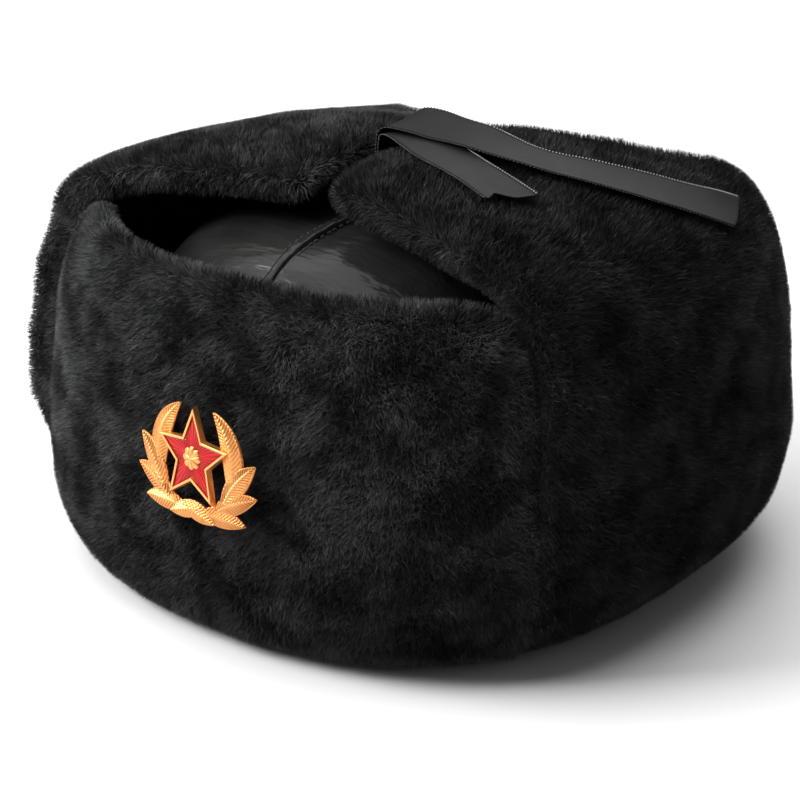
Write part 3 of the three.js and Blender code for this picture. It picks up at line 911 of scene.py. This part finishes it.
    def plant(
        self,
        root: np.ndarray,
        tip: np.ndarray,
        across: np.ndarray,
        rng: np.random.Generator,
        material: bpy.types.Material,
    ) -> None:
        """Makes the hairs' meshes, one for each stretch of the flap.

        Args:
            root: where each hair grows.
            tip: where it ends.
            across: the way its width runs.
            rng: the source of chance.
            material: their finish.
        """
        width = self.hair_width * rng.uniform(0.7, 1.2, (len(root), 1)) * 0.5
        corners = np.stack([root - across * width, root + across * width, tip], axis=1)
        normal = np.cross(corners[:, 1] - corners[:, 0], corners[:, 2] - corners[:, 0])
        inward = np.sum(normal * (tip - HEAD_MIDDLE), axis=1) < 0
        corners[inward] = corners[inward][:, [1, 0, 2]]
        shade = rng.uniform(size=len(root))
        for stretch, mask in self.stretches(root).items():
            self.stretch_mesh(f"{self.node}_fur_{stretch.value}", corners[mask], shade[mask], material)

    def stretches(self, root: np.ndarray) -> dict[Stretch, np.ndarray]:
        """Which hairs belong to which stretch.

        Args:
            root: where each hair grows.

        Returns:
            A mask for each stretch.
        """
        if self.node == "front_flap":
            return {Stretch.FRONT: np.ones(len(root), bool)}
        top = root[:, 2] > self.top_above
        side = ~top & (root[:, 1] < self.side_before)
        return {Stretch.TOP: top, Stretch.SIDE: side, Stretch.BACK: ~top & ~side}

    def stretch_mesh(
        self, name: str, corners: np.ndarray, shade: np.ndarray, material: bpy.types.Material
    ) -> None:
        """One mesh of hairs, each a slim blade with its own place on the map.

        Args:
            name: the piece's name.
            corners: each hair's three corners.
            shade: a number from 0 to 1 for each hair.
            material: their finish.
        """
        count = len(corners)
        mesh = bpy.data.meshes.new(name)
        mesh.vertices.add(count * 3)
        mesh.vertices.foreach_set("co", corners.astype(np.float32).ravel())
        mesh.loops.add(count * 3)
        mesh.loops.foreach_set("vertex_index", np.arange(count * 3, dtype=np.int32))
        mesh.polygons.add(count)
        mesh.polygons.foreach_set("loop_start", np.arange(count, dtype=np.int32) * 3)
        mesh.update(calc_edges=True)
        carry(mesh, "reach", np.tile([0.0, 0.0, 1.0], count))
        carry(mesh, "shade", np.repeat(shade, 3))
        side = math.ceil(math.sqrt(count))
        cell = np.arange(count)
        low = np.stack([cell % side, cell // side], axis=1)[:, None, :] / side
        local = np.array([[0.06, 0.06], [0.94, 0.06], [0.5, 0.94]]) / side
        layer = mesh.uv_layers.new(name="OFBake")
        layer.uv.foreach_set("vector", (low + local).astype(np.float32).ravel())
        mesh.materials.append(material)
        obj = bpy.data.objects.new(name, mesh)
        bpy.context.scene.collection.objects.link(obj)
        dress(obj)


# Crown


@dataclass
class Crown:
    """The leather cap with its lining.

    Each row has a height, the half width and the reach to the front and to the back there.
    """

    power: float = 2.4
    leather: float = 2.4 * MM
    steps: int = 64
    soft_from: float = 85 * MM
    soft_over: float = 30 * MM
    rows: tuple = (
        (1.2, 89.6, 101.2, 105.4),
        (30, 90.2, 101.8, 105.8),
        (62, 90.6, 102, 106),
        (88, 88.5, 100, 104),
        (103, 83.5, 95.5, 99),
        (114, 76, 89, 92),
        (122, 67, 81, 83),
        (128, 56, 71, 72),
        (131.5, 43, 58, 58),
        (133.5, 27, 38, 38),
        (134, 0.0, 0.0, 0.0),
    )

    def profile(self, count: int) -> np.ndarray:
        """The cap's profile in even steps along its side.

        Args:
            count: how many steps.

        Returns:
            Rows of height, half width, front reach and back reach, in metres.
        """
        fine = curve_rows(self.rows, 400) * MM
        fine[:, 1:] = np.maximum(fine[:, 1:], 0)
        return evenly(fine, 2, count)[0]

    def point(self, angle: float, row: np.ndarray) -> Vector:
        """A point of the cap.

        Args:
            angle: the way from the middle, from +X towards +Y.
            row: one row of the profile.

        Returns:
            The point.
        """
        cosine, sine = math.cos(angle), math.sin(angle)
        power = 2 / self.power
        reach = row[2] if sine < 0 else row[3]
        x = row[1] * math.copysign(abs(cosine) ** power, cosine)
        y = reach * math.copysign(abs(sine) ** power, sine)
        return Vector((x, y, row[0])) + SHIFT

    def make_cap(self, leather: bpy.types.Material, lining: bpy.types.Material) -> bpy.types.Object:
        """The cap's wall, leather outside and lining inside.

        Args:
            leather: the outside's finish.
            lining: the inside's finish.

        Returns:
            The cap.
        """
        bm = bmesh.new()
        bmesh.ops.create_uvsphere(bm, u_segments=160, v_segments=2 * self.steps, radius=1)
        below = [v for v in bm.verts if v.co.z < -1e-4]
        bmesh.ops.delete(bm, geom=below, context="VERTS")
        rows = self.profile(self.steps + 1)
        for vert in bm.verts:
            level = math.asin(min(1.0, vert.co.z)) / (math.pi / 2)
            vert.co = self.point(math.atan2(vert.co.y, vert.co.x), rows[round(level * self.steps)])
        bm.normal_update()
        places = np.array([v.co for v in bm.verts])
        broad = smooth_noise(places * [1, 1, 0.5], 26 * MM, 71)[:, 0]
        folds = smooth_noise(places * [0.45, 1, 1], 9 * MM, 72)[:, 0]
        for i, vert in enumerate(bm.verts):
            high = min(1.0, max(0.0, (vert.co.z - self.soft_from) / self.soft_over))
            vert.co += vert.normal * high * (1.1 * broad[i] + 0.35 * folds[i] - 1.0) * MM
        bmesh.ops.recalc_face_normals(bm, faces=bm.faces)
        bmesh.ops.solidify(bm, geom=list(bm.faces), thickness=self.leather)
        bm.normal_update()
        for face in bm.faces:
            out = face.calc_center_median() - Vector(HEAD_MIDDLE)
            face.material_index = 0 if face.normal.dot(out) > 0 else 1
        return dress(new_piece("crown_cap", bm, [leather, lining]), "crown")


@dataclass
class Seam:
    """The raised seam over the crown and its two rows of stitches."""

    crown: Crown
    half: float = 2.1 * MM
    height: float = 1.5 * MM
    sunk: float = 0.9 * MM
    pucker: float = 0.12 * MM
    pucker_columns: float = 6.2
    cut_off: float = 0.06
    pitch: float = 3.4 * MM
    stitch: float = 2.5 * MM
    aside: float = 0.9 * MM
    below: float = 0.75 * MM

    def path(self, count: int) -> tuple[np.ndarray, np.ndarray]:
        """The seam's line over the crown.

        Args:
            count: how many points.

        Returns:
            Its points, and the outward way at each.
        """
        high, _, front, back = self.crown.profile(200).T
        line = [np.stack([high * 0, reach, high], axis=1) for reach in (-front, back)]
        line = np.concatenate([line[0], line[1][::-1][1:]]) + np.array(SHIFT)
        points = evenly(line, 3, count, self.cut_off, 1 - self.cut_off)[0]
        ways = unit(np.gradient(points, axis=0))
        out = unit(np.cross([1.0, 0, 0], ways))
        outward = np.sum(out * (points - HEAD_MIDDLE), axis=1, keepdims=True)
        return points, np.where(outward < 0, -out, out)

    def make_welt(self, material: bpy.types.Material) -> bpy.types.Object:
        """The raised strip.

        Args:
            material: its finish.

        Returns:
            The strip.
        """
        columns, rows = 260, 10
        points, out = self.path(columns + 1)
        bm = bmesh.new()
        bmesh.ops.create_grid(bm, x_segments=columns, y_segments=rows, size=1)
        for vert in bm.verts:
            i = round((vert.co.x + 1) / 2 * columns)
            side = vert.co.y
            lift = self.height * max(0.0, 1 - abs(side) ** 3) ** 0.5 - self.sunk
            lift += self.pucker * math.sin(i * 2 * math.pi / self.pucker_columns)
            vert.co = Vector(points[i]) + Vector((side * self.half, 0, 0)) + Vector(out[i]) * lift
        bmesh.ops.recalc_face_normals(bm, faces=bm.faces)
        return dress(new_piece("crown_seam", bm, [material]))

    def make_stitches(self, material: bpy.types.Material) -> bpy.types.Object:
        """The two rows of stitches beside the strip.

        Args:
            material: their finish.

        Returns:
            The stitches, in one mesh.
        """
        count = 400
        points, out = self.path(count)
        along = lengths(points)
        size = Matrix.Diagonal((0.32 * MM, self.stitch / 2, 0.3 * MM, 1))
        bm = bmesh.new()
        for k in range(int(along[-1] / self.pitch)):
            i = int(np.searchsorted(along, (k + 0.5) * self.pitch))
            way = Vector(points[min(i + 1, count - 1)] - points[max(i - 1, 0)]).normalized()
            up = Vector(out[i])
            turn = Matrix((way.cross(up), way, up)).transposed().to_4x4()
            for side in (-1, 1):
                at = Vector(points[i]) + Vector((side * (self.half + self.aside), 0, 0)) - up * self.below
                place = Matrix.Translation(at) @ turn @ size
                bmesh.ops.create_uvsphere(bm, u_segments=8, v_segments=5, radius=1, matrix=place)
        return dress(new_piece("crown_stitches", bm, [material]))


# Ribbon ties


@dataclass
class Tie:
    """One loose end of the ribbon tie, with the small loops of its woven edges.

    The cut end is short of the full length by a slant and a notch, as shares of it. The loops
    of the upper edge stand up, and the lower edge's are half hidden.
    """

    name: str
    node: str
    slot: str
    rows: tuple
    rests_on: list[str]
    slant: float
    notch: float
    width: float = 21 * MM
    thick: float = 0.5 * MM
    columns: int = 180
    across: int = 16
    free_from: float = 0.3
    cup: float = 0.5 * MM
    ripple: float = 0.28 * MM
    loop_pitch: float = 1.25 * MM
    loop_radius: float = 0.3 * MM
    loop_rise: float = 0.42 * MM
    lower_loop: float = 0.45

    def route(self, count: int) -> tuple[np.ndarray, np.ndarray, np.ndarray, np.ndarray]:
        """The ribbon's middle line.

        Args:
            count: how many places along it.

        Returns:
            Its points, the way across it, the way out of its face, and the length up to each point.
        """
        fine = curve_rows(self.rows, 600)
        fine[:, :3] = fine[:, :3] * MM + np.array(SHIFT)
        rows, even = evenly(fine, 3, count)
        points, side = rows[:, :3], rows[:, 3:]
        way = unit(np.gradient(points, axis=0))
        side = unit(side - way * np.sum(side * way, axis=1, keepdims=True))
        out = unit(np.cross(way, side))
        return points, side, out, even

    def surface(self, share: float, side: float, lines: tuple) -> Vector:
        """A point of the ribbon's middle surface.

        Args:
            share: how far along it, from 0 to 1.
            side: how far across it, from -1 to 1.
            lines: what route gave.

        Returns:
            The point.
        """
        place = share * (len(lines[0]) - 1)
        i = min(int(place), len(lines[0]) - 2)
        part = place - i
        point, aside, out = (line[i] * (1 - part) + line[i + 1] * part for line in lines[:3])
        free = max(0.0, share - self.free_from) / (1 - self.free_from)
        lift = self.thick * 0.9 + self.cup * side**2 * (0.3 + 0.7 * free)
        lift += self.ripple * math.sin(lines[3][i] / (17 * MM) + side * 1.3) * free
        return Vector(point + aside * side * self.width / 2 + out * lift)

    def end_share(self, side: float) -> float:
        """Where the cut end lies, as a share of the length, at a place across the ribbon."""
        return 1 - self.slant * (1 - side) / 2 - self.notch * max(0.0, 1 - abs(side + 0.35) / 0.5)

    def make(self, satin: bpy.types.Material, thread: bpy.types.Material) -> bpy.types.Object:
        """The ribbon and its edge loops.

        Args:
            satin: the ribbon's finish.
            thread: the loops' finish.

        Returns:
            The ribbon.
        """
        lines = self.route(400)
        bm = bmesh.new()
        bmesh.ops.create_grid(bm, x_segments=self.columns, y_segments=self.across, size=1)
        shares, sides = [], []
        for vert in bm.verts:
            share, side = (vert.co.x + 1) / 2, vert.co.y
            share *= self.end_share(side)
            shares.append(share)
            sides.append(abs(side))
            vert.co = self.surface(share, side, lines)
        bmesh.ops.recalc_face_normals(bm, faces=bm.faces)
        ribbon = new_piece(self.name, bm, [satin])
        length = float(lines[3][-1])
        carry(ribbon.data, "along", np.array(shares) * length)
        carry(ribbon.data, "across", np.array(sides))
        wall = ribbon.modifiers.new("thickness", "SOLIDIFY")
        wall.thickness, wall.offset = self.thick, 0.0
        loops = self.make_loops(thread, lines)
        dress(ribbon, self.node)
        return ribbon

    def make_loops(self, thread: bpy.types.Material, lines: tuple) -> bpy.types.Object:
        """The small loops along both woven edges.

        Args:
            thread: their finish.
            lines: what route gave.

        Returns:
            The loops, in one mesh.
        """
        count = int(lines[3][-1] / self.loop_pitch)
        bm = bmesh.new()
        for side, rise, size in ((-1, 0.0, self.lower_loop), (1, self.loop_rise, 1.0)):
            for k in range(1, count):
                at = self.surface(k / count * self.end_share(side), side, lines) + Vector((0, 0, rise))
                place = Matrix.Translation(at) @ Matrix.Scale(self.loop_radius * size, 4)
                bmesh.ops.create_icosphere(bm, subdivisions=1, radius=1, matrix=place)
        return dress(new_piece(self.name + "_edge_loops", bm, [thread]))


# Each row is a place on the middle of the ribbon's lower face, in millimetres from the routes'
# own origin, and the way its width runs there.
LONG_ROUTE = (
    (-0.4, -12, 146, 0, 1, 0),
    (-0.4, -12, 155, 0, 1, 0),
    (0.4, -11.8, 160.2, 0, 1, 0.06),
    (4.5, -11.2, 162.8, 0, 1, 0.14),
    (12, -10.4, 163, 0, 1, 0.16),
    (21, -9.8, 162, 0, 1, 0.13),
    (31, -9.6, 161.5, 0.02, 1, 0.08),
    (41, -9.4, 160.2, -0.05, 1, 0.02),
    (51, -6.6, 157.8, -0.35, 0.94, 0),
    (60, -1.4, 155.1, -0.5, 0.86, 0.03),
    (70, 5.6, 152.6, -0.58, 0.81, 0.08),
    (79.5, 13.6, 149.4, -0.64, 0.75, 0.13),
    (88.5, 22.6, 145.6, -0.68, 0.71, 0.18),
    (96.5, 32.6, 141.2, -0.68, 0.7, 0.22),
    (102.6, 43.6, 136.6, -0.64, 0.72, 0.27),
    (106.6, 56, 131.6, -0.7, 0.64, 0.33),
)
SHORT_ROUTE = (
    (1.3, -13, 146, 0, 1, 0),
    (1.3, -13, 153, 0, 1, 0),
    (1.6, -13, 157, 0, 1, 0),
    (4.4, -13.6, 159.4, 0.05, 1, 0),
    (11, -16, 159.9, 0.25, 1, 0),
    (21, -21.6, 159.6, 0.35, 1, 0),
    (32, -28, 159, 0.33, 1, -0.03),
    (42, -32.2, 158.4, 0.28, 1, -0.06),
    (53, -35.6, 157.1, 0.25, 1, -0.08),
    (63, -39, 155.6, 0.25, 1, -0.08),
    (71, -41.6, 154.1, 0.25, 1, -0.08),
)


# Badge


@dataclass
class Badge:
    """The gilt wreath with its star, boss and enamel, in the badge's own plane and then on the flap.

    Each leaf's row has the X and Y of its base and of its tip, its width and its bend, in star
    radii, and its lift in millimetres.
    """

    radius: float = 17.25 * MM
    waist: float = 0.45
    centre: Vector = field(default_factory=lambda: Vector((5.8, -125.2, 72)) * MM + SHIFT)
    turn: float = -5.5
    tilt: float = 6
    spin: float = 2.9
    bend: float = 300 * MM
    plate_back: float = 0.6 * MM
    frame_front: float = 2.7 * MM
    frame_width: float = 0.85 * MM
    flare: float = 0.5 * MM
    well: float = 1.1 * MM
    leaves: tuple = (
        (1.0, -0.5, 0.46, 0.995, 0.5, -0.3, 0.0),
        (0.84, -0.74, 1.56, 0.17, 0.44, 0.08, 0.3),
        (0.64, -0.94, 1.63, -0.465, 0.42, 0.08, 0.15),
        (0.3, -1.06, 1.38, -1.066, 0.4, 0.08, 0.0),
        (-0.25, -0.98, 0.62, -1.21, 0.36, 0.06, 0.45),
    )

    def on_flap(self, bm: bmesh.types.BMesh) -> None:
        """Bends a flat piece back and sets it on the front flap.

        Args:
            bm: the piece's mesh, in the badge's own plane.
        """
        for vert in bm.verts:
            vert.co.z -= vert.co.x**2 / (2 * self.bend)
        place = (
            Matrix.Translation(self.centre)
            @ Matrix.Rotation(math.radians(self.turn), 4, "Z")
            @ Matrix.Rotation(math.radians(90 - self.tilt), 4, "X")
            @ Matrix.Rotation(math.radians(self.spin), 4, "Z")
        )
        bmesh.ops.transform(bm, matrix=place, verts=bm.verts)

    def leaf(self, bm: bmesh.types.BMesh, row: tuple, side: int) -> None:
        """Adds one leaf with its rib and slanting veins.

        Args:
            bm: the wreath's mesh.
            row: the leaf's row.
            side: 1 for the leaves on the right, -1 for those on the left.
        """
        base_x, base_y, tip_x, tip_y, width, bend, lift = row
        base = Vector((base_x * side, base_y)) * self.radius
        tip = Vector((tip_x * side, tip_y)) * self.radius
        along = tip - base
        across = Vector((-along.y, along.x))
        middle = (base + tip) / 2 + across * bend * side
        columns, rows = 96, 18
        hollow = bm.verts.layers.float["hollow"]
        made = bmesh.ops.create_grid(bm, x_segments=columns, y_segments=rows, size=1)["verts"]
        for vert in made:
            share, place = (vert.co.x + 1) / 2, vert.co.y
            point = base * (1 - share) ** 2 + middle * 2 * share * (1 - share) + tip * share**2
            way = ((middle - base) * (1 - share) + (tip - middle) * share).normalized()
            aside = Vector((-way.y, way.x))
            swell = max(0.0, math.sin(math.pi * (0.12 + 0.88 * share))) ** 0.8
            half = max(0.1 * MM, 0.5 * width * self.radius * swell)
            vein = math.sin((share * along.length * 2.5 - abs(place) * half * 2.2) / MM * 1.9)
            rib = max(0.0, 1 - abs(place) / 0.16)
            edge = max(0.0, (abs(place) - 0.86) / 0.14)
            veined = vein * (1 - rib) * (1 - edge)
            height = 0.9 + swell * (1 - abs(place)) + lift + 0.3 * veined + 0.2 * rib + 0.15 * edge
            # Painted shade for the gilt: the leaf's low parts and its vein troughs get darker.
            low = min(1.0, max(0.0, (1.7 - height) / 0.8))
            vert[hollow] = 0.35 * low + 0.9 * max(0.0, -veined)
            spot = point + aside * place * half
            vert.co = Vector((spot.x, spot.y, height * MM))
        faces = list({f for v in made for f in v.link_faces})
        bmesh.ops.recalc_face_normals(bm, faces=faces)
        if sum(f.normal.z for f in faces) < 0:
            bmesh.ops.reverse_faces(bm, faces=faces)
        rim = [e for f in faces for e in f.edges if e.is_boundary]
        wall = bmesh.ops.extrude_edge_only(bm, edges=list(set(rim)))["geom"]
        for vert in (g for g in wall if isinstance(g, bmesh.types.BMVert)):
            vert.co.z = 0.2 * MM

    def wreath(self, gilt: bpy.types.Material) -> bpy.types.Object:
        """The ten leaves.

        Args:
            gilt: their finish.

        Returns:
            The wreath.
        """
        bm = bmesh.new()
        bm.verts.layers.float.new("hollow")
        for side in (-1, 1):
            for row in self.leaves:
                self.leaf(bm, row, side)
        self.on_flap(bm)
        return dress(new_piece("badge_wreath", bm, [gilt]), "badge")

    def star_face(self, bm: bmesh.types.BMesh, radius: float, waist: float) -> bmesh.types.BMFace:
        """A flat star with a tip at the top.

        Args:
            bm: where it goes.
            radius: from its middle to a tip.
            waist: from its middle to a notch.

        Returns:
            Its face.
        """
        made = bmesh.ops.create_circle(bm, cap_ends=True, radius=1, segments=10)["verts"]
        for vert in made:
            index = round(math.atan2(vert.co.x, vert.co.y) / (math.pi / 5))
            reach, angle = waist if index % 2 else radius, index * math.pi / 5
            vert.co = Vector((reach * math.sin(angle), reach * math.cos(angle), 0))
        return made[0].link_faces[0]

    def extrude(self, bm: bmesh.types.BMesh, face: bmesh.types.BMFace, height: float) -> bmesh.types.BMFace:
        """Extrudes a face along Z.

        Args:
            bm: its mesh.
            face: the face.
            height: how far.

        Returns:
            The new face at the end.
        """
        made = bmesh.ops.extrude_face_region(bm, geom=[face])["geom"]
        verts = [g for g in made if isinstance(g, bmesh.types.BMVert)]
        bmesh.ops.translate(bm, verts=verts, vec=(0, 0, height))
        return next(g for g in made if isinstance(g, bmesh.types.BMFace))

    def star(self, gilt: bpy.types.Material) -> bpy.types.Object:
        """The star's gilt frame with the well for the enamel.

        Args:
            gilt: its finish.

        Returns:
            The frame.
        """
        bm = bmesh.new()
        face = self.star_face(bm, self.radius, self.radius * self.waist)
        if face.normal.z < 0:
            bmesh.ops.reverse_faces(bm, faces=[face])
        bmesh.ops.translate(bm, verts=bm.verts, vec=(0, 0, self.plate_back))
        back_rim = list(face.verts)
        cap = self.extrude(bm, face, self.frame_front - self.plate_back)
        for vert in back_rim:
            vert.co += Vector((vert.co.x, vert.co.y, 0)).normalized() * self.flare
        rims = list(cap.edges)
        bmesh.ops.inset_region(bm, faces=[cap], thickness=self.frame_width, use_even_offset=True)
        rims += list(cap.edges)
        self.extrude(bm, cap, -self.well)
        bmesh.ops.delete(bm, geom=[cap], context="FACES_ONLY")
        bevel = {"affect": "EDGES", "segments": 2, "profile": 0.5, "material": -1}
        bmesh.ops.bevel(bm, geom=rims, offset=0.16 * MM, **bevel)
        bmesh.ops.recalc_face_normals(bm, faces=bm.faces)
        self.on_flap(bm)
        star = new_piece("badge_star", bm, [gilt], smooth=False)
        carry(star.data, "hollow", np.zeros(len(star.data.vertices)))
        return dress(star, "badge")

    def polar(self, bm: bmesh.types.BMesh, turns: int, rings: int) -> list[tuple]:
        """A round grid to be shaped by angle and reach.

        Args:
            bm: where it goes.
            turns: how many steps round.
            rings: how many steps out.

        Returns:
            Each vertex with its angle and its reach from 0 to 1.
        """
        made = bmesh.ops.create_grid(bm, x_segments=turns, y_segments=rings, size=1)["verts"]
        return [(v, math.pi * (v.co.x + 1), (v.co.y + 1) / 2) for v in made]

    def boss(self, gilt: bpy.types.Material) -> bpy.types.Object:
        """The small round flower in the middle of the star.

        Args:
            gilt: its finish.

        Returns:
            The flower.
        """
        bm = bmesh.new()
        hollow = []
        eye = 0.3
        for vert, angle, reach in self.polar(bm, 96, 18):
            petal = abs(math.cos(angle * 4)) ** 0.7
            radius = (3.4 + 0.9 * petal) * MM * reach
            height = 2.5 + 0.4 * (1 - reach**2) + 0.2 * petal * math.sin(math.pi * min(1, reach * 1.1))
            height += 0.3 * math.cos(min(1, reach / eye) * math.pi / 2)
            height -= 0.9 * max(0, reach - 0.93) / 0.07
            # Painted shade for the gilt in the gaps between the petals.
            hollow.append(0.7 * (1 - petal) * (reach > eye))
            vert.co = Vector((radius * math.sin(angle), radius * math.cos(angle), height * MM))
        bmesh.ops.recalc_face_normals(bm, faces=bm.faces)
        self.on_flap(bm)
        obj = new_piece("badge_boss", bm, [gilt])
        carry(obj.data, "hollow", np.array(hollow))
        return dress(obj, "badge")

    def enamel(self, red: bpy.types.Material) -> bpy.types.Object:
        """The red star with a ridge to each tip and fine rays.

        Args:
            red: its finish.

        Returns:
            The star.
        """
        bm = bmesh.new()
        a = Vector((self.radius * 0.86, 0))
        b = Vector((math.cos(math.pi / 5), math.sin(math.pi / 5))) * self.radius * 0.372
        edge = b - a
        hollow = []
        for vert, angle, reach in self.polar(bm, 240, 16):
            corner = (angle / (math.pi / 5)) % 2
            corner = min(corner, 2 - corner)
            swing = corner * math.pi / 5
            ray = Vector((math.cos(swing), math.sin(swing)))
            radius = a.cross(edge) / ray.cross(edge) * reach
            rays = math.sin(angle * 45)
            ridge = (1 - corner) * (1 - reach * 0.5)
            height = 2.05 + 0.32 * ridge + 0.07 * rays * min(1, reach * 2) - 0.3 * max(0, reach - 0.94) / 0.06
            hollow.append(min(1, 0.35 + 0.35 * rays + 0.35 * (1 - ridge)))
            vert.co = Vector((radius * math.sin(angle), radius * math.cos(angle), height * MM))
        bmesh.ops.recalc_face_normals(bm, faces=bm.faces)
        self.on_flap(bm)
        obj = new_piece("badge_enamel_star", bm, [red])
        carry(obj.data, "hollow", np.array(hollow))
        return dress(obj, "badge_enamel")


# Studio


@dataclass
class Studio:
    """The floor, the soft lights and the camera at the photograph's angle.

    Each light has a name, a place, the side of its square in metres and its watts.
    """

    azimuth: float = 37
    elevation: float = 22
    roll: float = 1.2
    distance: float = 0.9
    lens: float = 108.54
    aside: float = -4 * MM
    height: float = 52 * MM
    sky: float = 0.16
    lights: tuple = (
        ("overhead", (-0.25, 0.15, 1.5), 1.7, 26),
        ("left", (-1.0, -0.9, 0.95), 0.9, 38),
        ("back", (-0.4, 1.3, 0.9), 0.9, 7),
    )

    def make_camera(self) -> None:
        """Sets the camera up."""
        phi, rise, roll = (math.radians(a) for a in (self.azimuth, self.elevation, self.roll))
        right = Vector((math.cos(phi), math.sin(phi), 0))
        back = Vector((math.sin(phi) * math.cos(rise), -math.cos(phi) * math.cos(rise), math.sin(rise)))
        up = back.cross(right)
        target = right * self.aside + SHIFT + Vector((0, 0, self.height))
        x_axis = right * math.cos(roll) + up * math.sin(roll)
        y_axis = up * math.cos(roll) - right * math.sin(roll)
        data = bpy.data.cameras.new("camera")
        data.lens, data.sensor_width, data.clip_start = self.lens, 36, 0.05
        camera = bpy.data.objects.new("camera", data)
        bpy.context.scene.collection.objects.link(camera)
        turn = Matrix((x_axis, y_axis, back)).transposed().to_4x4()
        camera.matrix_world = Matrix.Translation(target + back * self.distance) @ turn
        bpy.context.scene.camera = camera

    def make_floor(self, material: bpy.types.Material) -> None:
        """Lays the floor just under the rim.

        Args:
            material: its finish.
        """
        bm = bmesh.new()
        bmesh.ops.create_grid(bm, x_segments=24, y_segments=24, size=5)
        bmesh.ops.translate(bm, verts=bm.verts, vec=(0, 0, -0.2 * MM))
        new_piece("floor", bm, [material])

    def add_light(self, name: str, place: tuple, size: float, power: float) -> None:
        """A square soft light that looks at the hat.

        Args:
            name: its name.
            place: where it hangs.
            size: its side in metres.
            power: its power in watts.
        """
        data = bpy.data.lights.new(name, "AREA")
        data.shape, data.size, data.energy = "SQUARE", size, power
        light = bpy.data.objects.new(name, data)
        bpy.context.scene.collection.objects.link(light)
        at = Vector(place)
        aim = (Vector((0, 0, 0.08)) - at).to_track_quat("-Z", "Y").to_matrix().to_4x4()
        light.matrix_world = Matrix.Translation(at) @ aim

    def light(self) -> None:
        """Hangs the lights and sets the surroundings."""
        world = bpy.data.worlds.new("studio")
        world.use_nodes = True
        background = world.node_tree.nodes["Background"]
        background.inputs["Color"].default_value = (1, 1, 1, 1)
        background.inputs["Strength"].default_value = self.sky
        bpy.context.scene.world = world
        bpy.context.scene.view_settings.view_transform = "Standard"
        for light in self.lights:
            self.add_light(*light)


# Building


def tree_of(objects: list[bpy.types.Object]) -> BVHTree:
    """One search tree over several meshes.

    Args:
        objects: what goes into it.

    Returns:
        The tree.
    """
    bm = bmesh.new()
    for obj in objects:
        bm.from_mesh(obj.data)
    tree = BVHTree.FromBMesh(bm)
    bm.free()
    return tree


def pressing(objects: list[bpy.types.Object]) -> Pressing:
    """What lies on the fur, with 1 mm to spare round each piece's box.

    Args:
        objects: the pieces.

    Returns:
        Their surface and their boxes.
    """
    boxes = []
    for obj in objects:
        places = corner_places(obj.data)
        boxes.append((places.min(axis=0) - 1 * MM, places.max(axis=0) + 1 * MM))
    return Pressing(tree_of(objects), boxes)


def main() -> None:
    """Builds the hat and its studio in order."""
    logging.basicConfig(level=logging.INFO, format="%(message)s")
    studio = Studio()
    studio.make_camera()
    studio.make_floor(PaleFloor().make())
    studio.light()

    thread = Thread().make()
    crown = Crown()
    leather = Leather().make()
    cap = crown.make_cap(leather, Lining().make())
    seam = Seam(crown)
    seam.make_welt(leather)
    seam.make_stitches(thread)

    satin = Satin().make()
    lappets = ["ear_flap_left", "ear_flap_right"]
    ties = [
        Tie("tie_long", "tie_ribbon_long", "ribbon", LONG_ROUTE, lappets, slant=0.10, notch=0.0),
        Tie("tie_short", "tie_ribbon_short", "ribbon_end", SHORT_ROUTE, lappets[:1], slant=0.02, notch=0.05),
    ]
    picot = Thread("picot_thread", 0.6).make()
    ribbons = [tie.make(satin, picot) for tie in ties]

    badge = Badge()
    gilt = Gilt().make()
    wreath, star = badge.wreath(gilt), badge.star(gilt)
    badge.boss(gilt)
    badge.enamel(Enamel().make())
    pressed = pressing([*ribbons, wreath, star])

    wool = UnderFur().make()
    flaps = [
        FurFlap("front_flap", "front_fur", 11, 185_000),
        FurFlap("ear_flap_left", "left_fur", 23, 285_000),
        FurFlap("ear_flap_right", "right_fur", 37, 285_000),
    ]
    for flap in flaps:
        others = tree_of([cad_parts[other.node] for other in flaps if other is not flap])
        flap.make_body(wool, others)
    around = tree_of([*(flap.body for flap in flaps), cap])
    # Painted light in the tip colours: paler on the lit front and far right flaps, darkest on the shaded near
    # left flap.
    piles = [Pile("front_pile_painted_light", 0.135), Pile("left_pile_painted_shade", 0.05), Pile("right_pile_painted_light", 0.11)]
    for flap, pile in zip(flaps, piles):
        flap.grow(pile.make(), around, pressed)


if __name__ == "__main__":
    main()
